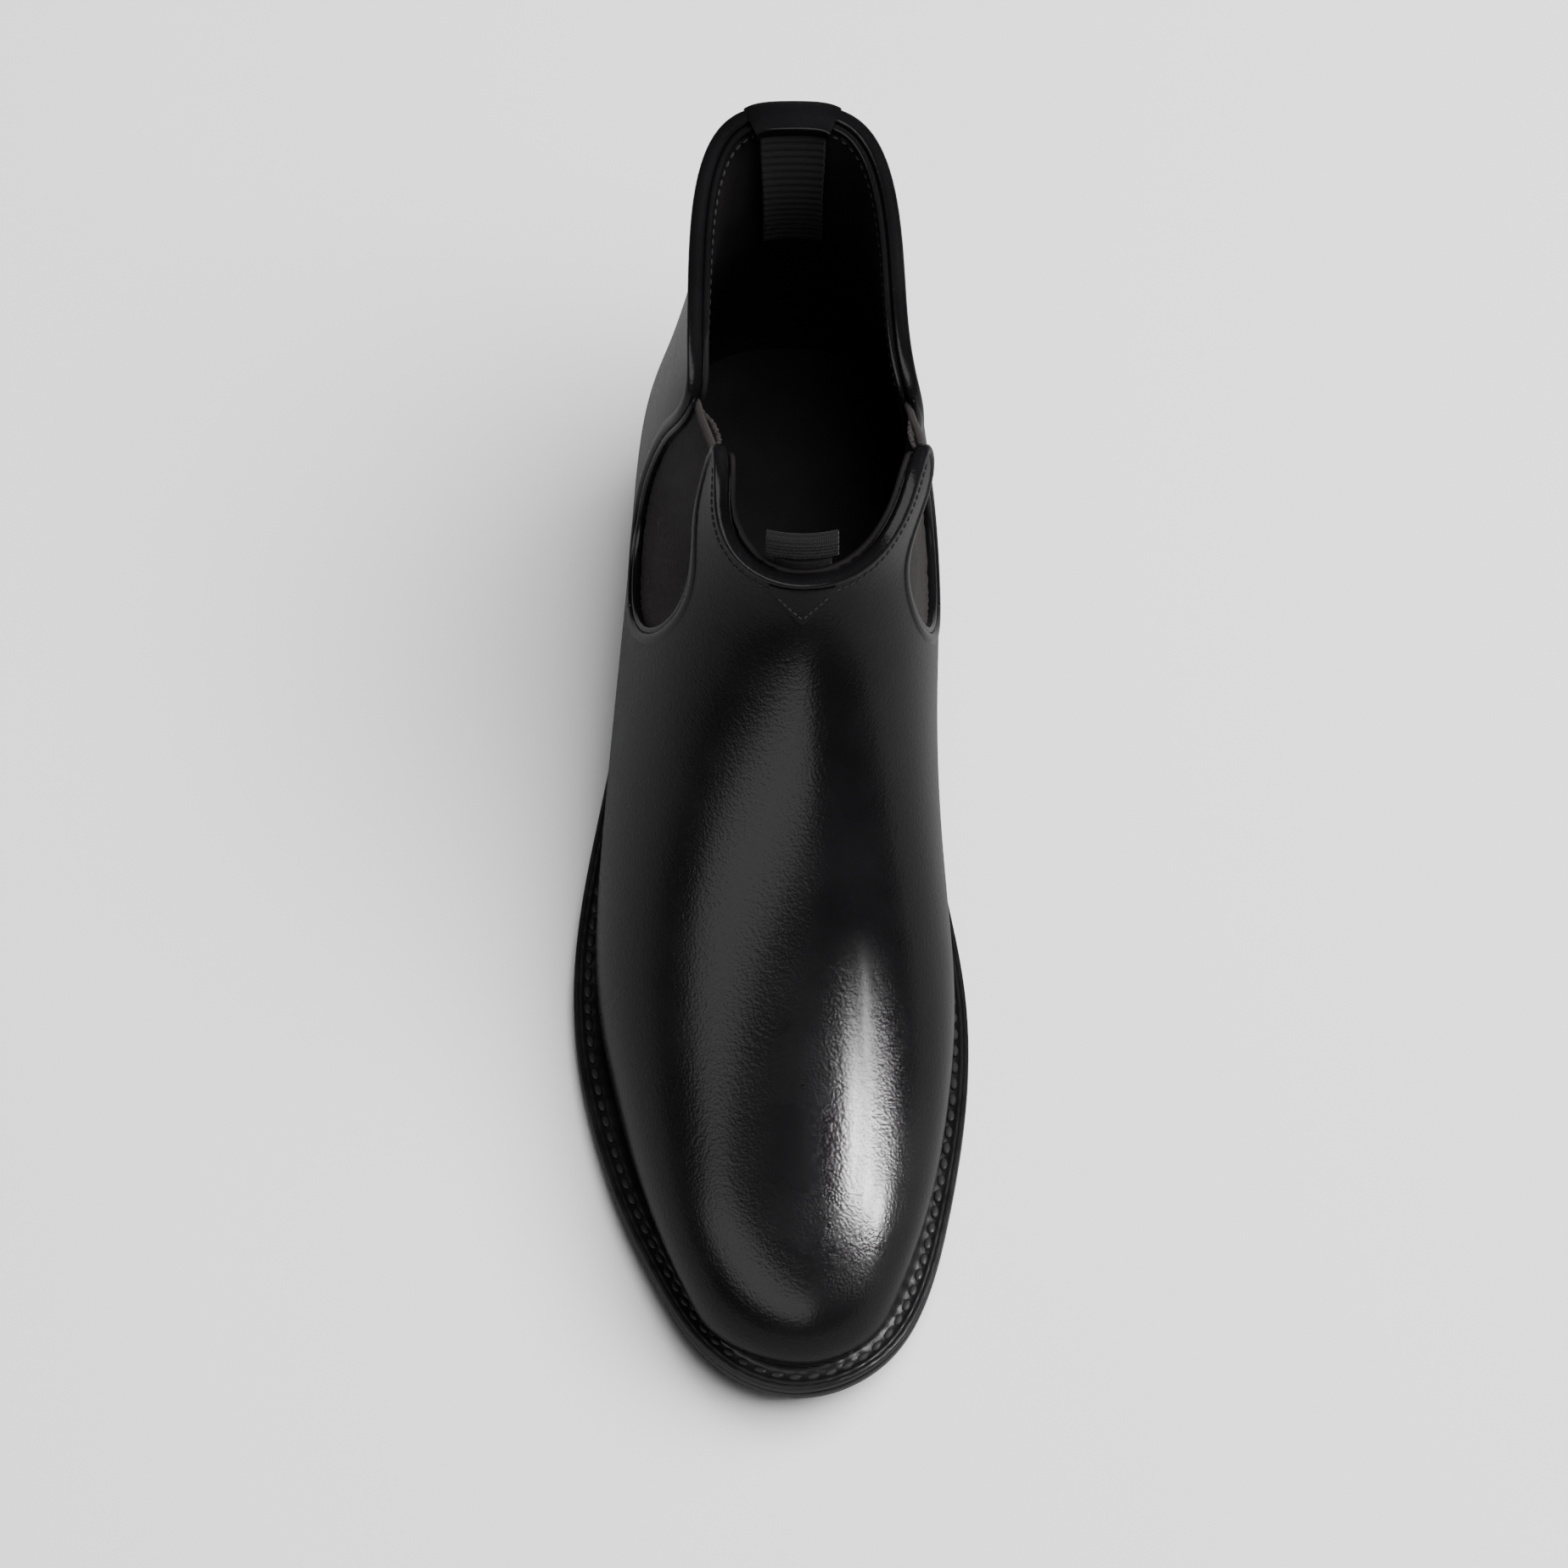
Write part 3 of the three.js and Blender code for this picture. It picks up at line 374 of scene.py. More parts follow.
# ------------------------------------------------------------------ making meshes
def sheet(columns, rows, place, size=(1.0, 1.0)):
    """A grid laid on a surface by place(s, t), with its UV map in millimetres."""
    bm = bmesh.new()
    uv = bm.loops.layers.uv.new("UVMap")
    bmesh.ops.create_grid(bm, x_segments=columns, y_segments=rows, size=1, calc_uvs=True)
    flat = np.array([vert.co for vert in bm.verts])[:, :2]
    flat = (flat - flat.min(0)) / (flat.max(0) - flat.min(0))
    for vert, point in zip(bm.verts, place(flat[:, 0], flat[:, 1])):
        vert.co = point
    for face in bm.faces:
        for loop in face.loops:
            loop[uv].uv = (loop[uv].uv[0] * size[0], loop[uv].uv[1] * size[1])
    return bm


def cut_away(bm, margin):
    """Cuts the mesh where margin is zero and drops the side where it is negative."""
    values = dict(zip(bm.verts, margin(np.array([vert.co for vert in bm.verts]))))
    on_line = []
    for edge in list(bm.edges):
        a, b = edge.verts
        if values[a] * values[b] < 0:
            share = values[a] / (values[a] - values[b])
            _, vert = bmesh.utils.edge_split(edge, a, share)
            values[vert] = 0.0
            on_line.append(vert)
    bmesh.ops.connect_verts(bm, verts=on_line)
    dropped = [face for face in bm.faces if max(values[v] for v in face.verts) <= 1e-9]
    bmesh.ops.delete(bm, geom=dropped, context="FACES")
    loose = [vert for vert in bm.verts if not vert.link_faces]
    bmesh.ops.delete(bm, geom=loose, context="VERTS")


def weld(bm, reach=0.002):
    bmesh.ops.remove_doubles(bm, verts=bm.verts, dist=reach)


def close_up(bm):
    """Fills open ends and turns every face outwards."""
    bmesh.ops.holes_fill(bm, edges=bm.edges, sides=0)
    bmesh.ops.recalc_face_normals(bm, faces=bm.faces)


def face_along(bm, outward):
    """Turns a sheet so that its faces look along the outward directions of their centres."""
    bm.normal_update()
    centres = np.array([face.calc_center_median() for face in bm.faces])
    facing = np.array([face.normal for face in bm.faces])
    if np.sum(facing * outward(centres)) < 0:
        bmesh.ops.reverse_faces(bm, faces=bm.faces)


def from_axis(centres):
    """Directions away from the middle line of the foot."""
    x, y, z = centres.T
    middle = np.stack([np.full(len(x), 2.0), np.clip(y, 40, 235), np.where(z > 60, z, 30)], 1)
    return centres - middle


def sweep(path, profile, around, closed=False):
    """A bar along a path. Profile(share along, turn) gives how far out and sideways it reaches."""
    count = len(path.points)
    columns = count if closed else count - 1

    def place(s, t):
        i = np.rint(s * columns).astype(int)
        out, across = profile(i / max(columns, 1), t)
        i %= count
        return path.points[i] + path.normals[i] * out[:, None] + path.sideways[i] * across[:, None]

    bm = sheet(columns, around, place, (path.run[-1], 10.0))
    weld(bm)
    close_up(bm)
    return bm


def ring_solid(rings):
    """A solid through closed rings of points, with both ends filled."""
    rings = [np.asarray(ring) for ring in rings]
    count = len(rings[0])

    def place(s, t):
        i = np.rint(s * count).astype(int) % count
        j = np.rint(t * (len(rings) - 1)).astype(int)
        return np.array(rings)[j, i]

    bm = sheet(count, len(rings) - 1, place, (700.0, 20.0))
    weld(bm)
    close_up(bm)
    return bm


def add_stitches(bm, path, pitch, length, width, height, lift=0.0, slant=0.0, skip=0.0):
    """Short rounded stitches along a path, set into the surface."""
    at = np.arange(skip + pitch / 2, path.run[-1] - skip, pitch)
    for place in at:
        point, normal, ahead = (
            Vector([np.interp(place, path.run, values[:, k]) for k in range(3)])
            for values in (path.points, path.normals, path.ahead)
        )
        ahead = (ahead - normal * ahead.dot(normal)).normalized()
        ahead = Matrix.Rotation(slant, 3, normal) @ ahead
        turn = Matrix((ahead, normal.cross(ahead), normal)).transposed().to_4x4()
        size = Matrix.Diagonal((length / 2, width / 2, height / 2, 1))
        matrix = Matrix.Translation(point + normal * lift) @ turn @ size
        bmesh.ops.create_uvsphere(bm, u_segments=8, v_segments=6, radius=1, matrix=matrix)


def finish_piece(name, bm, material, replaced=(), body="root", smooth=True):
    """Puts a mesh in the frame as a piece that rides on its body."""
    bmesh.ops.transform(bm, matrix=TO_FRAME, verts=bm.verts)
    mesh = bpy.data.meshes.new(name)
    bm.to_mesh(mesh)
    bm.free()
    mesh.materials.append(material)
    mesh.polygons.foreach_set("use_smooth", [smooth] * len(mesh.polygons))
    piece = bpy.data.objects.new(name, mesh)
    bpy.context.scene.collection.objects.link(piece)
    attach(piece, body)
    if replaced:
        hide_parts(*replaced)
    return piece


def thicken(piece, thickness, offset=-1.0):
    """Gives a sheet its thickness."""
    wall = piece.modifiers.new("thickness", "SOLIDIFY")
    wall.thickness = thickness * MM
    wall.offset = offset
    wall.use_even_offset = False
    return wall


def soften_edges(piece, width, segments=2):
    """Rounds the sharp edges of a piece."""
    bevel = piece.modifiers.new("soft edge", "BEVEL")
    bevel.width = width * MM
    bevel.segments = segments
    bevel.limit_method = "ANGLE"
    bevel.angle_limit = math.radians(40)
    bevel.harden_normals = False
    return bevel


# ------------------------------------------------------------------ finishes
def shader_group(name, inputs, outputs):
    """A new shader node group with its sockets, and its input and output nodes."""
    group = bpy.data.node_groups.new(name, "ShaderNodeTree")
    for label, kind, default in inputs:
        socket = group.interface.new_socket(label, in_out="INPUT", socket_type=kind)
        if default is not None:
            socket.default_value = default
    for label, kind in outputs:
        group.interface.new_socket(label, in_out="OUTPUT", socket_type=kind)
    return group, group.nodes.new("NodeGroupInput"), group.nodes.new("NodeGroupOutput")


def math_node(tree, operation, first, second=None):
    """A math node fed by sockets or plain numbers."""
    node = tree.nodes.new("ShaderNodeMath")
    node.operation = operation
    for socket, value in zip(node.inputs, (first, second)):
        if isinstance(value, bpy.types.NodeSocket):
            tree.links.new(value, socket)
        elif value is not None:
            socket.default_value = value
    return node.outputs[0]


def make_grain_group():
    """Fine pebbled leather grain with broad soft unevenness: a height and a mottle mask."""
    group, entry, leave = shader_group(
        "leather grain",
        [("Vector", "NodeSocketVector", None), ("Cell", "NodeSocketFloat", 0.0007),
         ("Broad", "NodeSocketFloat", 0.3)],
        [("Height", "NodeSocketFloat"), ("Mottle", "NodeSocketFloat")],
    )
    link = group.links.new
    scale = math_node(group, "DIVIDE", 1.0, entry.outputs["Cell"])
    cells = group.nodes.new("ShaderNodeTexVoronoi")
    cells.feature = "SMOOTH_F1"
    wander = group.nodes.new("ShaderNodeTexNoise")
    broad = group.nodes.new("ShaderNodeTexNoise")
    for node in (cells, wander, broad):
        link(entry.outputs["Vector"], node.inputs["Vector"])
    link(scale, cells.inputs["Scale"])
    link(math_node(group, "MULTIPLY", scale, 0.45), wander.inputs["Scale"])
    wander.inputs["Detail"].default_value = 4
    broad.inputs["Scale"].default_value = 42
    broad.inputs["Detail"].default_value = 3
    fine = math_node(group, "ADD", cells.outputs["Distance"], wander.outputs["Fac"])
    soft = math_node(group, "MULTIPLY", broad.outputs["Fac"], entry.outputs["Broad"])
    link(math_node(group, "ADD", fine, soft), leave.inputs["Height"])
    link(broad.outputs["Fac"], leave.inputs["Mottle"])
    return group


def make_weave_group():
    """Crossing threads on a UV map in millimetres: a height and a shade mask."""
    group, entry, leave = shader_group(
        "crossing threads",
        [("UV", "NodeSocketVector", None), ("Along", "NodeSocketFloat", 0.5),
         ("Across", "NodeSocketFloat", 0.5)],
        [("Height", "NodeSocketFloat"), ("Painted_shade", "NodeSocketFloat")],
    )
    parts = group.nodes.new("ShaderNodeSeparateXYZ")
    group.links.new(entry.outputs["UV"], parts.inputs[0])
    waves = []
    for axis, pitch in ((0, "Along"), (1, "Across")):
        turn = math_node(group, "DIVIDE", parts.outputs[axis], entry.outputs[pitch])
        wave = math_node(group, "SINE", math_node(group, "MULTIPLY", turn, 2 * math.pi))
        waves.append(wave)
    both = math_node(group, "MULTIPLY", waves[0], waves[1])
    sum_of = math_node(group, "ADD", both, math_node(group, "MULTIPLY", waves[0], 0.5))
    group.links.new(sum_of, leave.inputs["Height"])
    # Painted shade and highlight: the mask is dark where the threads lie low and light where they rise.
    painted_shade = math_node(group, "MULTIPLY_ADD", both, 0.5)
    painted_shade.node.inputs[2].default_value = 0.5
    group.links.new(painted_shade, leave.inputs["Painted_shade"])
    return group


def new_material(name, colour, roughness):
    """A material with its tree, its shader and a coordinate node."""
    material = bpy.data.materials.new(name)
    material.use_nodes = True
    tree = material.node_tree
    shader = tree.nodes["Principled BSDF"]
    shader.inputs["Base Color"].default_value = (*colour, 1)
    shader.inputs["Roughness"].default_value = roughness
    return material, tree, shader, tree.nodes.new("ShaderNodeTexCoord")


def add_bump(tree, shader, height, distance, strength=1.0):
    bump = tree.nodes.new("ShaderNodeBump")
    bump.inputs["Distance"].default_value = distance
    bump.inputs["Strength"].default_value = strength
    tree.links.new(height, bump.inputs["Height"])
    tree.links.new(bump.outputs["Normal"], shader.inputs["Normal"])


def vary(tree, mask, socket, low, high):
    """Lets a mask move a value or colour between two others."""
    span = tree.nodes.new("ShaderNodeMapRange")
    span.inputs["From Min"].default_value = 0.3
    span.inputs["From Max"].default_value = 0.7
    tree.links.new(mask, span.inputs["Value"])
    if isinstance(low, tuple):
        mix = tree.nodes.new("ShaderNodeMix")
        mix.data_type = "RGBA"
        mix.inputs["A"].default_value = (*low, 1)
        mix.inputs["B"].default_value = (*high, 1)
        tree.links.new(span.outputs["Result"], mix.inputs["Factor"])
        tree.links.new(mix.outputs["Result"], socket)
        return
    span.inputs["To Min"].default_value = low
    span.inputs["To Max"].default_value = high
    tree.links.new(span.outputs["Result"], socket)


def leather(name, colour, roughness, cell, depth, coat=0.0, sheen=0.0):
    """Leather with grain, mottled colour and uneven gloss."""
    material, tree, shader, where = new_material(name, colour, roughness)
    grain = tree.nodes.new("ShaderNodeGroup")
    grain.node_tree = groups["grain"]
    tree.links.new(where.outputs["Object"], grain.inputs["Vector"])
    grain.inputs["Cell"].default_value = cell
    lighter = tuple(min(1.0, value * 1.35) for value in colour)
    darker = tuple(value * 0.75 for value in colour)
    vary(tree, grain.outputs["Mottle"], shader.inputs["Base Color"], darker, lighter)
    vary(tree, grain.outputs["Mottle"], shader.inputs["Roughness"], roughness * 0.9, roughness * 1.12)
    add_bump(tree, shader, grain.outputs["Height"], depth)
    shader.inputs["Coat Weight"].default_value = coat
    shader.inputs["Coat Roughness"].default_value = 0.16
    shader.inputs["Specular IOR Level"].default_value = 0.3
    shader.inputs["Sheen Weight"].default_value = sheen
    return material


def fabric(name, colour, along, across, depth, roughness=0.8, sheen=0.25):
    """Ribbon or elastic with crossing threads."""
    material, tree, shader, where = new_material(name, colour, roughness)
    weave = tree.nodes.new("ShaderNodeGroup")
    weave.node_tree = groups["weave"]
    tree.links.new(where.outputs["UV"], weave.inputs["UV"])
    weave.inputs["Along"].default_value = along
    weave.inputs["Across"].default_value = across
    lighter = tuple(value * 1.7 for value in colour)
    darker = tuple(value * 0.6 for value in colour)
    # Painted shade and highlight: the colour is darker where the threads lie low and lighter where they rise.
    vary(tree, weave.outputs["Painted_shade"], shader.inputs["Base Color"], darker, lighter)
    add_bump(tree, shader, weave.outputs["Height"], depth)
    shader.inputs["Sheen Weight"].default_value = sheen
    shader.inputs["Sheen Roughness"].default_value = 0.5
    shader.inputs["Specular IOR Level"].default_value = 0.3
    return material


def dressed_edge(name, colour, roughness):
    """Pressed, inked and waxed sole leather with faint layers along the edge."""
    material, tree, shader, where = new_material(name, colour, roughness)
    stretch = tree.nodes.new("ShaderNodeMapping")
    stretch.inputs["Scale"].default_value = (60, 60, 1500)
    layers = tree.nodes.new("ShaderNodeTexNoise")
    layers.inputs["Scale"].default_value = 1
    layers.inputs["Detail"].default_value = 4
    tree.links.new(where.outputs["Object"], stretch.inputs["Vector"])
    tree.links.new(stretch.outputs["Vector"], layers.inputs["Vector"])
    vary(tree, layers.outputs["Fac"], shader.inputs["Roughness"], roughness * 0.75, roughness * 1.3)
    lighter = tuple(value * 1.5 for value in colour)
    vary(tree, layers.outputs["Fac"], shader.inputs["Base Color"], colour, lighter)
    add_bump(tree, shader, layers.outputs["Fac"], 0.00006)
    return material


def speckled(name, colour, other, size, roughness, metallic=0.0):
    """A plain body with irregular specks, for board, cork, rubber and steel."""
    material, tree, shader, where = new_material(name, colour, roughness)
    specks = tree.nodes.new("ShaderNodeTexVoronoi")
    specks.inputs["Scale"].default_value = 1 / size
    tree.links.new(where.outputs["Object"], specks.inputs["Vector"])
    vary(tree, specks.outputs["Distance"], shader.inputs["Base Color"], colour, other)
    add_bump(tree, shader, specks.outputs["Distance"], 0.0001)
    shader.inputs["Metallic"].default_value = metallic
    return material


groups, finishes = {}, {}


def make_finishes():
    """Every finish of the boot, from the sizes and colours of the panel."""
    calf = bpy.context.scene.boot_leather
    trim = bpy.context.scene.boot_trim
    grain = (calf.grain, calf.grain_depth)
    groups["grain"] = make_grain_group()
    groups["weave"] = make_weave_group()
    finishes.update(
        calf=leather("black calf", tuple(calf.colour), calf.roughness, *grain, 0.12),
        binding=leather("folded calf edge", tuple(calf.colour), calf.roughness * 0.95, *grain, 0.35),
        lining=leather("black lining leather", tuple(calf.lining_colour), 0.62, 0.0009, 0.00008),
        elastic=fabric("black elastic", tuple(trim.elastic_colour), 0.42, 0.9, 0.00012, 0.85, 0.08),
        ribbon=fabric("black grosgrain", tuple(trim.ribbon_colour), 0.55, 0.55, 0.00008, 0.62, 0.08),
        thread=fabric("waxed black thread", tuple(trim.thread_colour), 0.4, 0.4, 0.00005, 0.45, 0.0),
        welt=dressed_edge("black welt", tuple(calf.sole_colour), 0.4),
        sole=dressed_edge("polished sole edge", tuple(calf.sole_colour), 0.22),
        rubber=speckled("black heel rubber", (0.016, 0.016, 0.016), (0.03, 0.03, 0.03), 0.002, 0.6),
        board=speckled("tan fibre board", (0.42, 0.29, 0.17), (0.3, 0.2, 0.11), 0.0012, 0.8),
        insole=leather("natural insole leather", (0.50, 0.36, 0.23), 0.75, 0.001, 0.00008),
        cork=speckled("granulated cork", (0.45, 0.31, 0.19), (0.24, 0.15, 0.08), 0.0016, 0.9),
        steel=speckled("plain steel", (0.55, 0.55, 0.56), (0.42, 0.42, 0.43), 0.004, 0.35, 1.0),
    )


# ------------------------------------------------------------------ pieces
AROUND, ALONG = 230, 210


def last_sheet(depth, u_range=(0.0, TOP_SECTION), angle_range=(-math.pi, math.pi), columns=AROUND, rows=ALONG,
               relief=None):
    """A sheet at a depth below the last's surface."""

    def place(s, t):
        u = u_range[0] + (u_range[1] - u_range[0]) * t
        angle = angle_range[0] + (angle_range[1] - angle_range[0]) * s
        sunk = np.full(len(s), float(depth))
        return layer(u, angle, sunk if relief is None else sunk + relief(last_surface(u, angle)))

    return sheet(columns, rows, place, (260.0, 300.0))


def build_upper():
    """One-piece calf upper, cut along its edge and down to the welt."""
    bm = last_sheet(0.0)
    cut_away(bm, lambda at: at[:, 2] - feather(at[:, 1]) + 0.2)
    cut_away(bm, leather_margin)
    weld(bm)
    face_along(bm, from_axis)
    piece = finish_piece("boot_upper", bm, finishes["calf"], ["upper"])
    thicken(piece, UPPER_LEATHER)


def build_linings():
    """Vamp and quarter lining, joined in front of the elastic."""
    for name, node, keep in (
        ("boot_vamp_lining", "vamp_lining", lambda at: LINING_JOIN_Y - at[:, 1]),
        ("boot_quarter_lining", "quarter_lining", lambda at: at[:, 1] - LINING_JOIN_Y - 0.3),
    ):
        bm = last_sheet(LINING_DEPTH, columns=150, rows=130)
        cut_away(bm, lambda at: at[:, 2] - feather(at[:, 1]) - 2.5)
        cut_away(bm, keep)
        cut_away(bm, lambda at: leather_margin(at) - 1.2)
        weld(bm)
        face_along(bm, from_axis)
        piece = finish_piece(name, bm, finishes["lining"], [node])
        thicken(piece, LINING_LEATHER)


def build_elastics():
    """Ribbed elastic behind both side openings, with its folded top edge."""
    trim = bpy.context.scene.boot_trim
    top_run = lengths_along(ELASTIC_TOP)
    top = spline(top_run, ELASTIC_TOP, np.linspace(0, top_run[-1], 160))

    def ribs(at):
        lean = at[:, 1] - 0.12 * (at[:, 2] - 100)
        inwards = np.clip(leather_margin(at) / -9, 0, 1)
        hollow = ELASTIC_HOLLOW * inwards ** 2 * (3 - 2 * inwards)
        return hollow + 0.26 * np.cos(2 * math.pi * lean / trim.elastic_rib) + 0.4

    def behind_horn(at):
        return at[:, 1] - np.interp(at[:, 2], ELASTIC_FRONT[:, 0], ELASTIC_FRONT[:, 1])

    def below_top(at):
        return np.interp(at[:, 1], top[:, 0], top[:, 1]) - at[:, 2]

    for side, label in ((-1, "outer"), (1, "inner")):
        bm = last_sheet(2.15, (10.6, 19.4), (side * 0.05 * math.pi, side * 0.62 * math.pi), 230, 100, ribs)
        cut_away(bm, lambda at: 7 - leather_margin(at))
        cut_away(bm, below_top)
        cut_away(bm, behind_horn)
        face_along(bm, from_axis)
        points, normals = on_side(top, side, 3.4)
        inside = np.abs(leather_margin(points)) < 200
        path = Path(points[inside], normals[inside], 0.8)
        path = trimmed(path, (leather_margin(path.points) < 2.5) & (behind_horn(path.points) > 1.5))
        fold = sweep(path, lambda s, t: (1.0 * np.cos(2 * math.pi * t), 1.2 * np.sin(2 * math.pi * t)), 10)
        merge_into(bm, fold)
        replaced = [f"gore_elastic_{label}"]
        piece = finish_piece(f"boot_elastic_{label}", bm, finishes["elastic"], replaced)
        thicken(piece, 1.0)


def trimmed(path, keep):
    """The part of a path where keep is true."""
    return Path(path.points[keep], path.normals[keep])


def merge_into(bm, other):
    """Adds another mesh to this one."""
    mesh = bpy.data.meshes.new("joined")
    other.to_mesh(mesh)
    other.free()
    bm.from_mesh(mesh)
    bpy.data.meshes.remove(mesh)


def rolled(thickness, height, sink, taper=0.0):
    """Profile of a folded leather edge round a wall; taper is the share over which its ends thin out."""

    def profile(s, t):
        turn = 2 * math.pi * t
        power = 0.8
        out = np.sign(np.cos(turn)) * np.abs(np.cos(turn)) ** power
        across = np.sign(np.sin(turn)) * np.abs(np.sin(turn)) ** power
        thick = thickness(s) if callable(thickness) else np.full(len(s), float(thickness))
        near_end = np.clip(np.minimum(s, 1 - s) / taper, 0, 1) if taper else np.ones(len(s))
        full = np.sqrt(1 - (1 - near_end) ** 2) * 0.97 + 0.03
        return 0.5 - thick / 2 + thick / 2 * out * full, across * height / 2 * full - sink

    return profile


def build_edges():
    """Folded edge of the leather along topline, horn and side opening, and the inner roll."""
    for name, node, first, last in (
        ("boot_edge_front", "topline_binding_front", RIDGE_KNOT, GORE_KNOT),
        ("boot_edge_back", "topline_binding_back", GORE_KNOT, BACK_KNOT),
    ):
        path = edge_path(first, last, 0.0, 0.0, 0.7)
        height = path.points[:, 2]
        limit = FRONT_TOP if first == RIDGE_KNOT else QUARTER_TOP
        fold = np.interp(height, (limit - 6, limit + 3), (2.5, 3.9))

        def thickness(s, fold=fold):
            return fold[np.clip(np.rint(s * (len(fold) - 1)).astype(int), 0, len(fold) - 1)]

        bm = sweep(path, rolled(thickness, 3.0, 0.9), 14)
        knots = (RIDGE_KNOT, HORN_KNOT + 1) if first == RIDGE_KNOT else (QUARTER_KNOT - 1, BACK_KNOT)
        inner = edge_path(*knots, 0.9, 3.7, 0.8)
        merge_into(bm, sweep(inner, rolled(2.1, 2.6, 1.2, 0.06), 12))
        finish_piece(name, bm, finishes["binding"], [node])


def build_opening_walls():
    """Inner leather band that stands between the cut edge and the elastic."""
    def profile(s, t):
        turn = 2 * math.pi * t
        full = np.sqrt(1 - (1 - np.clip(np.minimum(s, 1 - s) / 0.07, 0, 1)) ** 2) * 0.95 + 0.05
        return -1.9 + 1.5 * full * np.cos(turn), 0.9 + full * (1.3 * np.sin(turn) + 0.5 * np.cos(turn))

    for side, label in ((-1, "outer"), (1, "inner")):
        line = edge_line(HORN_KNOT + 1, QUARTER_KNOT, 0.0)
        points, normals = on_side(line[EDGE_STEPS // 40:], side, 0.0)
        path = Path(points, normals, 0.8)
        if side < 0:
            path = Path(path.points[::-1], path.normals[::-1])
        bm = sweep(path, profile, 12)
        replaced = [f"gore_binding_{label}"]
        finish_piece(f"boot_opening_wall_{label}", bm, finishes["binding"], replaced)


def stitches(name, rows, replaced=(), body="root"):
    """One piece of stitching made of rows: path, pitch, length, width, height, lift."""
    bm = bmesh.new()
    for row in rows:
        add_stitches(bm, *row)
    return finish_piece(name, bm, finishes["thread"], replaced, body)


def build_edge_stitching():
    """Stitches below the topline, outside in front and inside all round."""
    rows = [(edge_path(RIDGE_KNOT, HORN_KNOT, 3.4, -0.05, 0.8), 2.0, 1.55, 0.55, 0.5, 0.0, 0.12)]
    for knots in ((RIDGE_KNOT, HORN_KNOT), (QUARTER_KNOT, BACK_KNOT)):
        inside = edge_path(*knots, 4.4, CAVITY_DEPTH, 0.8)
        inside = Path(inside.points, -inside.normals)
        rows.append((inside, 2.6, 2.0, 0.85, 0.8, 0.1, 0.15))
    stitches("boot_edge_stitching", rows)


def wall_strip(columns, rows, half_width, heights, depths, front, size, tuck=0.0):
    """A strip on the wall's middle line; heights and depths run down it, and tuck draws its sides in."""
    middle = RIDGE_X if front else BACK_X
    heights, depths = np.asarray(heights, float), np.asarray(depths, float)

    def place(s, t):
        share = np.linspace(0, 1, len(heights))
        z, depth = np.interp(t, share, heights), np.interp(t, share, depths)
        x = middle + half_width * (2 * s - 1)
        topline = FRONT_TOP if front else BACK_TOP
        u, angle = wall_place(x, np.minimum(z, topline), front)
        side = np.abs(2 * s - 1) ** 6
        points = layer(u, angle, depth + tuck * side)
        points[:, 2] += np.maximum(z - topline, 0) * (1 - min(tuck, 0.6) * side)
        return points

    return sheet(columns, rows, place, size)


STAY_TOP, STAY_DROP, STAY_HALF_WIDTH = 136.9, 10.0, 8.2


def build_front_stay():
    """Small pointed stay on the ridge below the front tab, with its stitches."""
    def place(s, t):
        across = 2 * s - 1
        foot = STAY_TOP - STAY_DROP * (1 - np.abs(across)) ** 0.9 * t - 0.4 * t
        u, angle = wall_place(RIDGE_X + STAY_HALF_WIDTH * across, foot, True)
        return layer(u, angle, np.full(len(s), -0.7))

    bm = sheet(28, 8, place, (16.0, 7.0))
    face_along(bm, lambda at: np.tile((0.0, -1.0, 0.6), (len(at), 1)))
    piece = finish_piece("boot_front_stay", bm, finishes["calf"], ["front_stay"])
    thicken(piece, 0.7)
    soften_edges(piece, 0.25)
    across = np.linspace(-1, 1, 41)
    z = 128.3 + 5.5 * np.abs(across)
    u, angle = wall_place(RIDGE_X + 6.0 * across, z, True)
    path = Path(layer(u, angle, np.full(len(across), -0.75)), last_normals(u, angle), 0.5)
    stitches("boot_stay_stitching", [(path, 1.8, 1.4, 0.6, 0.6)])


TAB_LEAN = 8  # degrees back from upright
TAB_ENDS_TOP, TAB_ENDS_FOOT, TAB_ENDS_DEPTH = 142.4, 127.5, 5.9


def build_front_tab():
    """Folded grosgrain tab that stands in the front, and its sewn ends."""
    trim = bpy.context.scene.boot_trim
    low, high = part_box("front_pull_tab")
    fold = next(joint for joint in frame["joints"] if joint["name"] == "front_tab_fold")
    hinge = Vector(fold["pos_m"]) / MM - SHIFT
    lean = math.radians(TAB_LEAN)
    up = Vector((0, math.sin(lean), math.cos(lean)))
    out = Vector((0, -math.cos(lean), math.sin(lean)))
    half_width = (high.x - low.x) / MM / 2
    rise, half, below = 5.8, 1.15, 0.6

    def place(s, t):
        run = 2 * rise + math.pi * half
        at = t * run
        ribs = 0.26 * np.cos(2 * math.pi * at / trim.ribbon_rib)
        radius = half + ribs
        turn = np.clip((at - rise) / half, 0, math.pi)
        along = np.where(at < rise, at, np.where(at > run - rise, run - at, rise)) + radius * np.sin(turn)
        away = radius * np.cos(turn)
        bow = 1.3 * (2 * s - 1) ** 2
        base = np.array(hinge) + np.stack([(2 * s - 1) * half_width, bow, -0.25 * bow], 1)
        return base + np.outer(along - below, np.array(up)) + np.outer(away, np.array(out))

    bm = sheet(36, 96, place, (2 * half_width, 2 * rise + math.pi * half))
    ribbon = finishes["ribbon"]
    piece = finish_piece("boot_front_tab", bm, ribbon, ["front_pull_tab"], "front_tab")
    thicken(piece, 0.8, 0.0)
    size = (2 * half_width, TAB_ENDS_TOP - TAB_ENDS_FOOT)
    heights, depths = np.array((TAB_ENDS_TOP, TAB_ENDS_FOOT)), np.full(2, TAB_ENDS_DEPTH)
    bm = wall_strip(24, 60, half_width, heights, depths, True, size)
    piece = finish_piece("boot_front_tab_ends", bm, ribbon, ["front_tab_root"])
    thicken(piece, 0.9, 0.0)


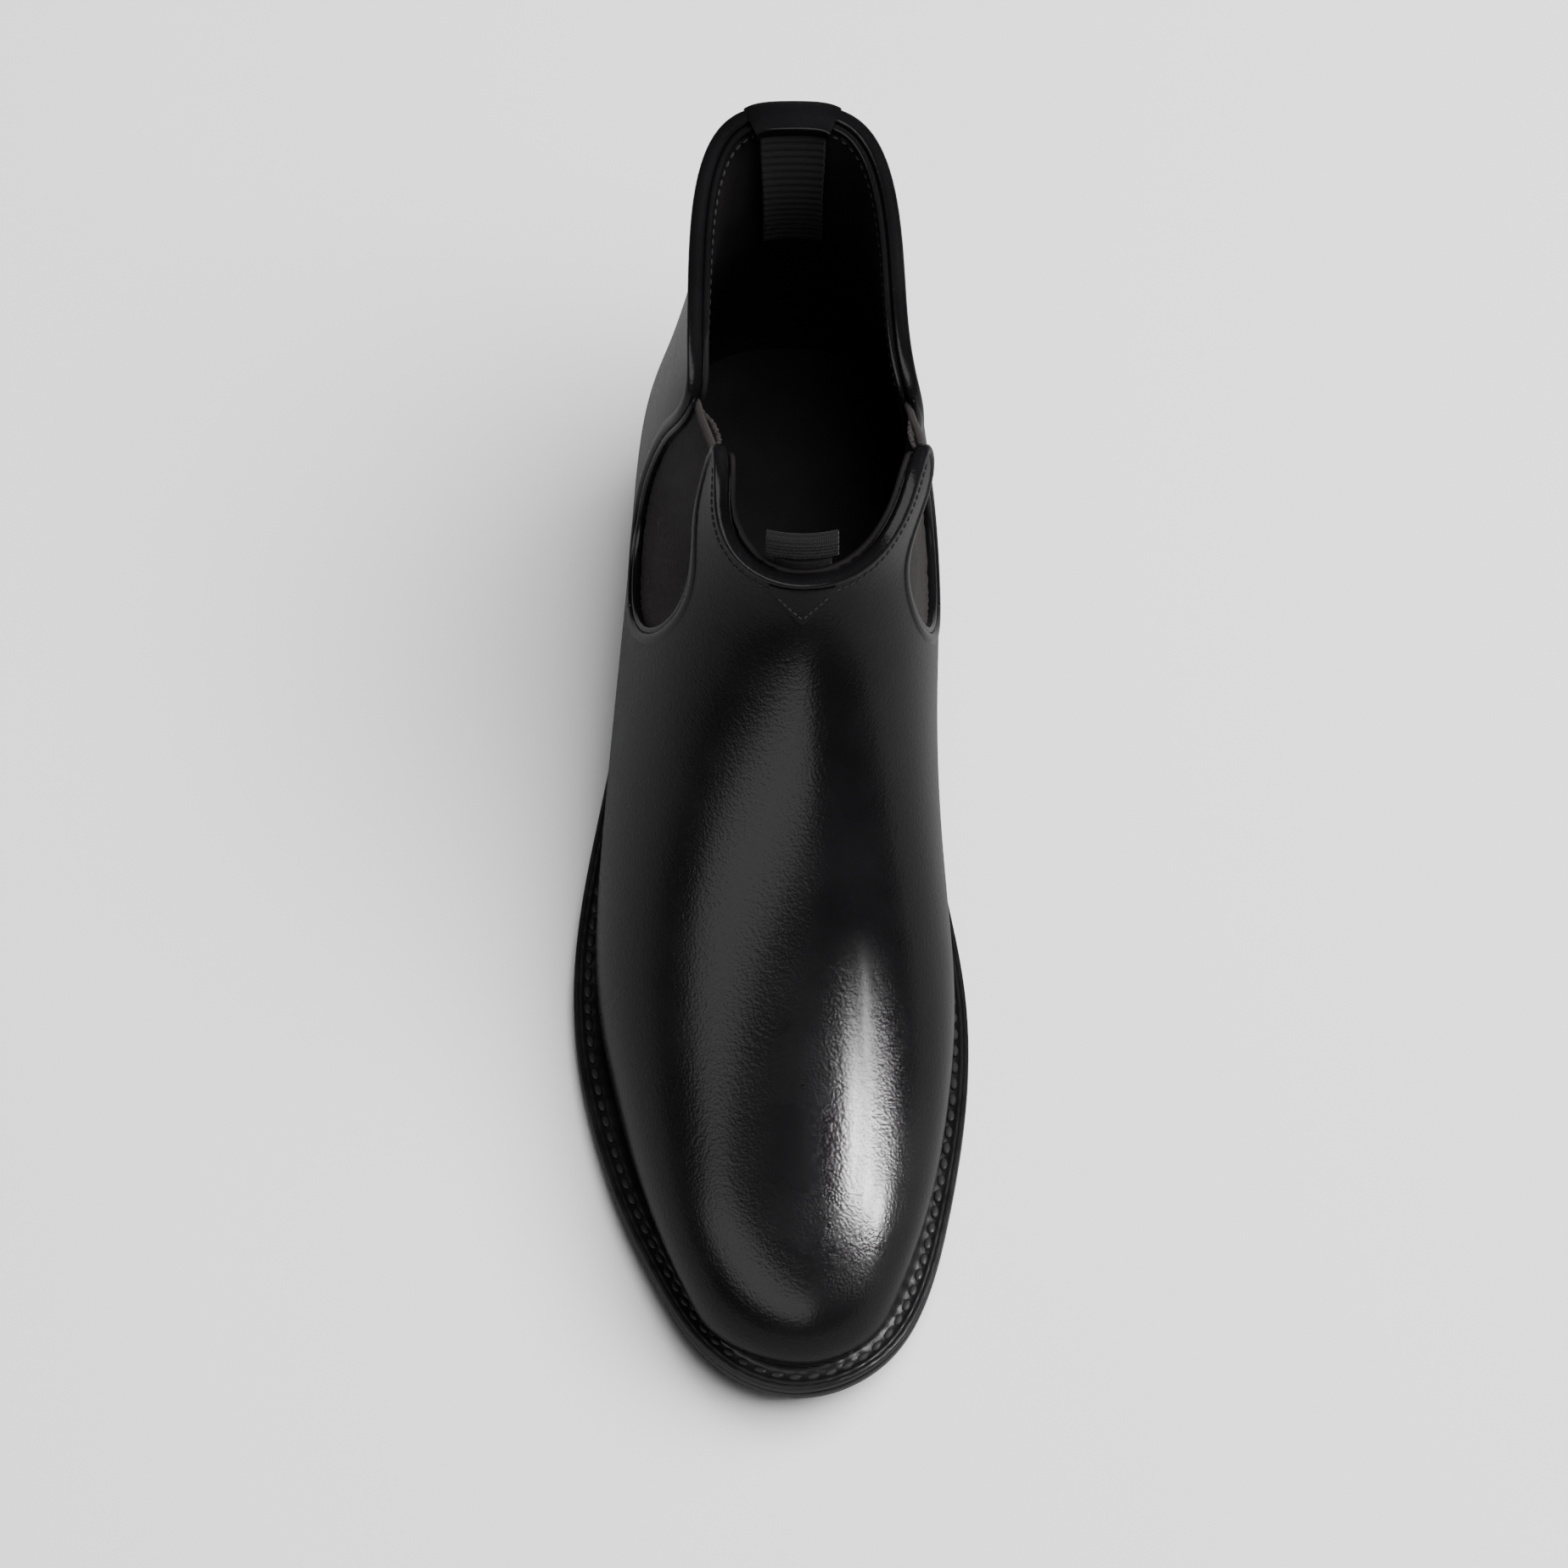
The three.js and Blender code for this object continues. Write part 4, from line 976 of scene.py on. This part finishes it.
STRAP_TOP, STRAP_INSIDE_FOOT, STRAP_FOOT = 166.9, 163.2, 44.0


def build_back_strap():
    """Leather strap over the back of the topline and down the back, with its stitches."""
    shoulder = STRAP_TOP - 1.2
    heights = np.concatenate([
        np.linspace(STRAP_INSIDE_FOOT, shoulder, 6),
        shoulder + 1.2 * np.sin(np.linspace(0.1, 3.04, 12)),
        np.linspace(shoulder, STRAP_FOOT, 60),
    ])
    depths = np.concatenate([np.full(6, 6.6), np.linspace(6.5, -0.9, 12), np.full(60, -1.0)])
    bm = wall_strip(30, 150, 12.0, heights, depths, False, (24.0, 135.0), 0.7)
    face_along(bm, lambda at: np.tile((0.0, 0.6, 0.4), (len(at), 1)))
    piece = finish_piece("boot_back_strap", bm, finishes["binding"], ["back_strap"])
    thicken(piece, 1.3, 0.0)
    soften_edges(piece, 0.45, 3)
    rows = []
    for side in (-1, 1):
        z = np.linspace(162.0, STRAP_FOOT + 2, 160)
        u, angle = wall_place(np.full(len(z), BACK_X + side * 10.2), z, False)
        path = Path(layer(u, angle, np.full(len(z), -1.5)), last_normals(u, angle), 0.8)
        rows.append((path, 2.6, 2.0, 0.6, 0.5))
    stitches("boot_strap_stitching", rows)


def build_back_ribbon():
    """Ribbed grosgrain ribbon that hangs inside the back."""
    trim = bpy.context.scene.boot_trim
    for name, top, length, bow, replaced, body in (
        ("boot_back_ribbon_head", 163.8, 3.4, 0.0, [], "root"),
        ("boot_back_ribbon", 160.4, 50.0, 1.2, ["back_pull_ribbon"], "back_ribbon"),
    ):
        rows = max(int(5.2 * length), 30)
        share = np.linspace(0, 1, rows)
        ribs = 0.5 * np.abs(np.sin(math.pi * (top - length * share) / trim.back_rib)) ** 0.7
        depths = 6.4 + bow * np.sin(math.pi * share) ** 2 + ribs
        bm = wall_strip(24, rows, 9.7, top - length * share, depths, False, (19.4, length))
        face_along(bm, lambda at: np.tile((0.0, -1.0, 0.2), (len(at), 1)))
        piece = finish_piece(name, bm, finishes["ribbon"], replaced, body)
        thicken(piece, 0.8)


SOCK_TOE_Y, SOCK_HEEL_Y = 14.0, 290.5
SOCK_HEIGHT = 6.6  # above the welt


def build_sock():
    """Lining leather on the foot bed."""
    def place(s, t):
        y = SOCK_TOE_Y + (SOCK_HEEL_Y - SOCK_TOE_Y) * (0.5 - 0.5 * np.cos(math.pi * t))
        z = feather(y) + SOCK_HEIGHT
        rows = np.stack([y, z], 1)
        edges = []
        for side in (-1, 1):
            u, angle, _ = from_side_view(rows, side)
            edges.append(layer(u, angle, np.full(len(y), 5.3))[:, 0])
        x = edges[0] + (edges[1] - edges[0]) * s
        crown = 0.5 * (1 - (2 * s - 1) ** 2)
        return np.stack([x, y, z - 0.5 + crown], 1)

    bm = sheet(26, 110, place, (70.0, 270.0))
    face_along(bm, lambda at: np.tile((0.0, 0.0, 1.0), (len(at), 1)))
    piece = finish_piece("boot_sock", bm, finishes["lining"], ["sock_lining"])
    thicken(piece, 1.3)


def bottom_ring(inset, height):
    """A closed ring of the bottom: the sole's outline moved in, at a height above the underside."""
    loop = offset_loop(sole_loop, -inset) if inset < 12 else shrunk(sole_loop, inset)
    lift = height(loop) if callable(height) else spring(loop[:, 1]) + height
    return np.column_stack([loop, lift])


def shrunk(loop, inset):
    """An outline drawn in towards its middle line."""
    middle = np.stack([np.full(len(loop), 0.0), np.clip(loop[:, 1], 45, 262)], 1)
    reach = np.linalg.norm(loop - middle, axis=1)[:, None]
    return middle + (loop - middle) * np.maximum(1 - inset / reach, 0.02)


def build_outsole():
    """Thin outsole with a rounded, polished edge."""
    top = OUTSOLE
    rings = [bottom_ring(*row) for row in (
        (34, top), (22, top), (11, top), (3, top), (0.7, top), (0.25, top - 0.12), (0.02, top - 0.5),
        (-0.12, top - 1.6), (-0.15, 2.5), (-0.05, 1.2), (0.2, 0.45), (0.7, 0.1), (1.4, 0), (5, 0),
        (11, 0), (22, 0), (34, 0),
    )]
    finish_piece("boot_outsole", ring_solid(rings), finishes["sole"], ["outsole"])


def welt_path(behind_breast):
    """The outsole's outline as a path at the welt's top, for the forepart or the heel."""
    y = sole_loop[:, 1]
    forward = ~(y > WELT_END_Y + LAYER_GAP) if not behind_breast else (y > WELT_END_Y + LAYER_GAP)
    start = np.flatnonzero(forward & ~np.roll(forward, 1))[0]
    order = (start + np.arange(forward.sum())) % SOLE_POINTS
    points = np.column_stack([sole_loop[order], feather(sole_loop[order, 1])])
    return Path(points, np.tile((0.0, 0.0, 1.0), (len(points), 1)), 0.62)


def welt_profile(path, tops):
    """Closed profile of the welt from its tops (inset, height), with wheel marks."""
    pitch = bpy.context.scene.boot_trim.welt_pitch
    outline = [
        (13.0, -2.95), (6.0, -2.95), (0.7, -2.95), (0.2, -2.8), (0.0, -2.4), (-0.05, -1.4), (0.0, -0.6),
    ]
    inset, height = np.array(outline + tops).T

    def profile(s, t):
        at = t * len(inset) % len(inset)
        i = np.rint(at).astype(int) % len(inset)
        marked = (inset[i] > 0.9) & (inset[i] < 6.4) & (height[i] > -0.9)
        marks = 0.09 * np.cos(2 * math.pi * s * path.run[-1] / pitch) * marked
        return height[i] + marks, inset[i]

    return profile, len(inset)


def build_welt():
    """Forefoot welt with its stitch groove and fine bead, and the plain rand round the heel."""
    tops = [(0.15, -0.25), (0.4, -0.08), (0.8, 0.02), (1.1, 0.0), (1.3, -0.16), (1.5, -0.2), (1.7, -0.12),
            (1.95, 0.0), (2.3, -0.15), (2.55, -0.45), (3.4, -0.55), (4.3, -0.5), (4.7, -0.2),
            (5.1, 0.02), (5.6, 0.1), (7.0, 0.1), (13.0, 0.1)]
    path = welt_path(False)
    bm = sweep(path, *welt_profile(path, tops))
    finish_piece("boot_welt", bm, finishes["welt"], ["welt"])
    path = welt_path(True)
    plain = [(0.1, -0.2), (0.4, 0.0), (1.2, 0.12), (3.0, 0.15), (6.0, 0.1), (13.0, 0.1)]
    bm = sweep(path, *welt_profile(path, plain))
    finish_piece("boot_heel_rand", bm, finishes["welt"], ["heel_rand"])


def build_welt_stitching():
    """Chunky lock stitches in the welt's groove."""
    trim = bpy.context.scene.boot_trim
    loop = offset_loop(sole_loop, -3.7)
    keep = loop[:, 1] < WELT_END_Y - 2
    start = np.flatnonzero(keep & ~np.roll(keep, 1))[0]
    order = (start + np.arange(keep.sum())) % SOLE_POINTS
    points = np.column_stack([loop[order], feather(loop[order, 1]) - 0.18])
    path = Path(points, np.tile((0.0, 0.0, 1.0), (len(points), 1)), 0.6)
    row = (path, trim.welt_pitch, trim.welt_pitch * 0.78, 2.1, 1.25, 0.0, 0.1)
    stitches("boot_welt_stitching", [row], replaced=["welt_stitching"])


def heel_ring(inset, height, breast_inset=0.0):
    """A closed ring of the heel: the sole's outline behind the breast, closed by the breast."""
    loop = offset_loop(sole_loop, -inset)
    keep = loop[:, 1] > BREAST_Y + breast_inset
    start = np.flatnonzero(keep & ~np.roll(keep, 1))[0]
    back = loop[(start + np.arange(keep.sum())) % SOLE_POINTS]
    share = np.linspace(0, 1, 60)[1:-1]
    across = back[-1] + (back[0] - back[-1]) * share[:, None]
    across[:, 1] += 3.2 * np.sin(math.pi * share)
    ring = np.vstack([back, across])
    run = lengths_along(np.vstack([ring, ring[:1]]))
    at = np.linspace(0, run[-1], 361)[:-1]
    ring = np.stack([np.interp(at, run, np.append(ring[:, k], ring[0, k])) for k in range(2)], 1)
    lift = height(ring[:, 1]) if callable(height) else np.full(len(ring), float(height))
    return np.column_stack([ring, lift])


HEEL_TOP_PIECE, HEEL_LIFT = 6.2, 5.7
HEEL_INSET, HEEL_SOFTNESS = 0.75, 0.35  # how far the heel stands in from the sole; its edge rounding


def build_heel():
    """Stacked leather heel lifts over a rubber top piece."""
    lift_foot = HEEL_TOP_PIECE
    lift_middle, lift_top = lift_foot + HEEL_LIFT, lift_foot + 2 * HEEL_LIFT
    for node, finish, slot, low, high in (
        ("heel_top_piece", "rubber", "heel_rubber", 0.0, lift_foot),
        ("heel_lift_lower", "sole", "sole_leather", lift_foot, lift_middle),
        ("heel_lift_upper", "sole", "sole_leather", lift_middle, lift_top),
        ("heel_base", "sole", "sole_leather", lift_top, lambda y: spring(y) - 0.02),
    ):
        def raised(edge, drop):
            return lambda y: (edge(y) if callable(edge) else np.full(len(y), edge)) + drop

        rounding = [
            (14, 0), (4, 0), (HEEL_INSET + 0.05 + HEEL_SOFTNESS, 0.02),
            (HEEL_INSET + 0.1, HEEL_SOFTNESS * 0.5), (HEEL_INSET, HEEL_SOFTNESS),
        ]
        rows = [(inset, raised(high, -drop)) for inset, drop in rounding]
        rows += [(inset, raised(low, drop)) for inset, drop in reversed(rounding)]
        rings = [heel_ring(inset, height, max(0.0, inset - HEEL_INSET)) for inset, height in rows]
        finish_piece(f"boot_{node}", ring_solid(rings), finishes[finish], [node])


INNER_NODES = {
    "toe_puff": "board", "heel_counter": "board", "insole": "insole", "cork_filler": "cork",
    "shank": "steel", **{f"heel_nail_{order}": "steel" for order in range(1, 6)},
}


def dress_inner_pieces():
    """Gives the hidden stiffeners, insole, filler, shank and nails their finishes."""
    for node, finish in INNER_NODES.items():
        piece = frame["nodes"][node]
        for spot in piece.material_slots:
            spot.material = finishes[finish]


# ------------------------------------------------------------------ studio
def soft_box(name, place, target, size, power, reflected=True, lights=True, spread=180):
    """A rectangular lamp that looks at a point. It can leave no reflection, or only a reflection."""
    lamp = bpy.data.lights.new(name, "AREA")
    lamp.shape = "RECTANGLE"
    lamp.size, lamp.size_y = size
    lamp.energy = power
    lamp.spread = math.radians(spread)
    light = bpy.data.objects.new(name, lamp)
    light.location = place
    light.rotation_euler = (Vector(target) - Vector(place)).to_track_quat("-Z", "Y").to_euler()
    light.visible_glossy = reflected
    light.visible_diffuse = lights
    light.visible_camera = False
    bpy.context.scene.collection.objects.link(light)
    return light


TOE_LAMP_LIFTS = (26, 40, 54)  # degrees above the floor
TOE_LAMP_DISTANCE, SIDE_LAMP_DISTANCE = 0.3, 1.5
CAMERA_LENS = 132.4
CAMERA_TARGET, CAMERA_DISTANCE, CAMERA_LIFT = (0.0035, 0.0018, 0.060), 1.5, 66
FLOOR_IN_GLOSS = 0.2  # painted reflection: the share of its own colour the floor is painted with where it is seen in reflections


def aim(turn, lift):
    """Direction at an angle from the toe's side towards the inner side, and at an angle above the floor."""
    turn, lift = math.radians(turn), math.radians(lift)
    return Vector((math.sin(turn) * math.cos(lift), -math.cos(turn) * math.cos(lift), math.sin(lift)))


def build_studio():
    """Pale floor, soft lamps and the camera."""
    studio = bpy.context.scene.boot_studio
    bm = bmesh.new()
    bmesh.ops.create_grid(bm, x_segments=2, y_segments=2, size=4)
    mesh = bpy.data.meshes.new("floor")
    bm.to_mesh(mesh)
    bm.free()
    material, tree, shader, _ = new_material("pale floor", tuple(studio.floor_colour), 0.7)
    shader.inputs["Specular IOR Level"].default_value = 0.0
    # Painted reflection: the floor is painted darker for glossy rays, so the leather reflects a dimmer floor
    # than the camera sees.
    rays = tree.nodes.new("ShaderNodeLightPath")
    painted_shade = tree.nodes.new("ShaderNodeMix")
    painted_shade.data_type = "RGBA"
    painted_shade.inputs["A"].default_value = (*studio.floor_colour, 1)
    painted_shade.inputs["B"].default_value = (*(value * FLOOR_IN_GLOSS for value in studio.floor_colour), 1)
    tree.links.new(rays.outputs["Is Glossy Ray"], painted_shade.inputs["Factor"])
    tree.links.new(painted_shade.outputs["Result"], shader.inputs["Base Color"])
    mesh.materials.append(material)
    floor = bpy.data.objects.new("floor", mesh)
    floor.location = (0, 0, -0.0004)
    bpy.context.scene.collection.objects.link(floor)

    world = bpy.data.worlds.new("studio")
    bpy.context.scene.world = world
    world.use_nodes = True
    ground = world.node_tree.nodes["Background"]
    ground.inputs["Color"].default_value = (1, 1, 1, 1)
    ground.inputs["Strength"].default_value = studio.ambient

    middle, toe = (0.0, 0.0, 0.08), (0.025, -0.104, 0.051)
    soft_box("top_light", (0.75, 0.15, 1.7), middle, (1.7, 1.7), studio.top_light, reflected=False)
    sky = bpy.data.lights.new("even_light", "SUN")
    sky.energy, sky.angle = studio.even_light, math.radians(60)
    sky_light = bpy.data.objects.new("even_light", sky)
    sky_light.rotation_euler = (0, math.radians(20), 0)
    sky_light.visible_glossy = False
    bpy.context.scene.collection.objects.link(sky_light)
    power = studio.toe_light / len(TOE_LAMP_LIFTS)
    for order, lift in enumerate(TOE_LAMP_LIFTS, 1):
        place = Vector(toe) + TOE_LAMP_DISTANCE * aim(78, lift)
        soft_box(f"toe_light_{order}", place, toe, (0.035, 0.07), power, lights=False, spread=17)
    place = Vector(middle) + SIDE_LAMP_DISTANCE * aim(-36, 37)
    soft_box("side_light", place, middle, (2.5, 0.8), studio.side_light, lights=False)

    lens = bpy.data.cameras.new("camera")
    lens.lens = CAMERA_LENS
    lens.sensor_width = 36
    lens.clip_start, lens.clip_end = 0.05, 20
    camera = bpy.data.objects.new("camera", lens)
    target = Vector(CAMERA_TARGET)
    camera.location = target + CAMERA_DISTANCE * aim(0, CAMERA_LIFT)
    camera.rotation_euler = (target - camera.location).to_track_quat("-Z", "Y").to_euler()
    bpy.context.scene.collection.objects.link(camera)
    bpy.context.scene.camera = camera


# ------------------------------------------------------------------ panel
def number(name, description, default, low, high, unit="NONE", precision=3):
    return bpy.props.FloatProperty(
        name=name, description=description, default=default, min=low, max=high, unit=unit,
        precision=precision,
    )


def colour(name, description, default):
    return bpy.props.FloatVectorProperty(
        name=name, description=description, default=default, size=3, min=0, max=1, subtype="COLOR",
    )


class BootLeather(bpy.types.PropertyGroup):
    """Sizes and colours of the leathers."""

    colour: colour("Calf colour", "Colour of the upper leather", (0.0042, 0.004, 0.0045))
    roughness: number("Calf roughness", "How matt the upper leather is", 0.27, 0.05, 1.0)
    grain: number("Grain size", "Size of one grain cell", 0.0007, 0.0002, 0.003, "LENGTH", 5)
    grain_depth: number("Grain depth", "Height of the grain", 0.00007, 0.0, 0.0005, "LENGTH", 6)
    lining_colour: colour("Lining colour", "Colour of the lining leather", (0.0095, 0.0085, 0.009))
    sole_colour: colour("Sole colour", "Colour of the dressed sole edges", (0.006, 0.0058, 0.0062))


class BootTrim(bpy.types.PropertyGroup):
    """Sizes and colours of elastic, ribbon and thread. Pitches are in millimetres."""

    elastic_colour: colour("Elastic colour", "Colour of the side elastic", (0.018, 0.0135, 0.013))
    elastic_rib: number("Elastic rib", "Width of one rib of the elastic, in millimetres", 1.6, 0.4, 4.0)
    ribbon_colour: colour("Ribbon colour", "Colour of the pull tabs", (0.0085, 0.0082, 0.009))
    ribbon_rib: number("Tab rib", "Width of one rib of the front tab, in millimetres", 1.35, 0.5, 4.0)
    back_rib: number("Back ribbon rib", "Width of one rib of the back ribbon, in mm", 3.0, 0.5, 5.0)
    thread_colour: colour("Thread colour", "Colour of the stitching", (0.018, 0.0175, 0.0185))
    welt_pitch: number("Welt stitch", "Length from one welt stitch to the next, in mm", 4.7, 1.5, 8.0)


class BootStudio(bpy.types.PropertyGroup):
    """Lamps and floor."""

    floor_colour: colour("Floor", "Colour of the floor", (0.94, 0.94, 0.94))
    ambient: number("Ambient", "Strength of the light from all sides", 0.03, 0.0, 3.0)
    top_light: number("Top lamp", "Power of the large lamp above", 85.0, 0.0, 300.0, "POWER")
    even_light: number("Even light", "Strength of the soft light that falls evenly", 1.1, 0.0, 10.0)
    toe_light: number("Toe lamp", "Power of the lamps at the toe", 0.052, 0.0, 300.0, "POWER")
    side_light: number("Side lamp", "Power of the wide lamp at the outer side", 11.0, 0.0, 300.0, "POWER")


SETTINGS = (("boot_leather", BootLeather), ("boot_trim", BootTrim), ("boot_studio", BootStudio))
STEPS = (
    ("finishes", "Finishes", "Make every finish of the boot", (make_finishes,)),
    ("upper", "Upper", "Build the one-piece upper", (build_upper,)),
    ("linings", "Linings", "Build vamp and quarter lining", (build_linings,)),
    ("elastics", "Elastics", "Build the side elastics", (build_elastics,)),
    ("edges", "Edges", "Build the folded edges and opening walls", (build_edges, build_opening_walls)),
    ("edge_stitching", "Edge stitching", "Sew the topline", (build_edge_stitching,)),
    ("front_stay", "Front stay", "Build the pointed stay", (build_front_stay,)),
    ("front_tab", "Front tab", "Build the folded front tab", (build_front_tab,)),
    ("back_strap", "Back strap", "Build the strap over the back", (build_back_strap,)),
    ("back_ribbon", "Back ribbon", "Build the ribbon inside the back", (build_back_ribbon,)),
    ("sock", "Sock", "Build the sock lining", (build_sock,)),
    ("welt", "Welt", "Build welt, heel rand and their stitching", (build_welt, build_welt_stitching)),
    ("outsole", "Outsole", "Build the outsole", (build_outsole,)),
    ("heel", "Heel", "Build the stacked heel", (build_heel,)),
    ("inner_pieces", "Inner pieces", "Dress the hidden pieces", (dress_inner_pieces,)),
    ("studio", "Studio", "Build floor, lamps and camera", (build_studio,)),
)


def make_operator(key, label, text, builders):
    def execute(self, context):
        for builder in builders:
            builder()
        return {"FINISHED"}

    return type(f"BOOT_OT_{key}", (bpy.types.Operator,), {
        "bl_idname": f"boot.{key}", "bl_label": label, "__doc__": text, "execute": execute,
        "bl_options": {"REGISTER", "UNDO"},
    })


OPERATORS = [make_operator(*step) for step in STEPS]


class BOOT_PT_panel(bpy.types.Panel):
    """Sizes, colours and building steps of the boot."""

    bl_label = "Chelsea boot"
    bl_idname = "BOOT_PT_panel"
    bl_space_type = "VIEW_3D"
    bl_region_type = "UI"
    bl_category = "Boot"

    def draw(self, context):
        for name, group in SETTINGS:
            box = self.layout.box()
            for key in group.__annotations__:
                box.prop(getattr(context.scene, name), key)
        for operator in OPERATORS:
            self.layout.operator(operator.bl_idname)


def register():
    for name, group in SETTINGS:
        bpy.utils.register_class(group)
        setattr(bpy.types.Scene, name, bpy.props.PointerProperty(type=group))
    for item in (*OPERATORS, BOOT_PT_panel):
        bpy.utils.register_class(item)


def unregister():
    for item in (BOOT_PT_panel, *reversed(OPERATORS)):
        bpy.utils.unregister_class(item)
    for name, group in reversed(SETTINGS):
        delattr(bpy.types.Scene, name)
        bpy.utils.unregister_class(group)


def main():
    register()
    for key, *_ in STEPS:
        getattr(bpy.ops.boot, key)()


if __name__ == "__main__":
    main()
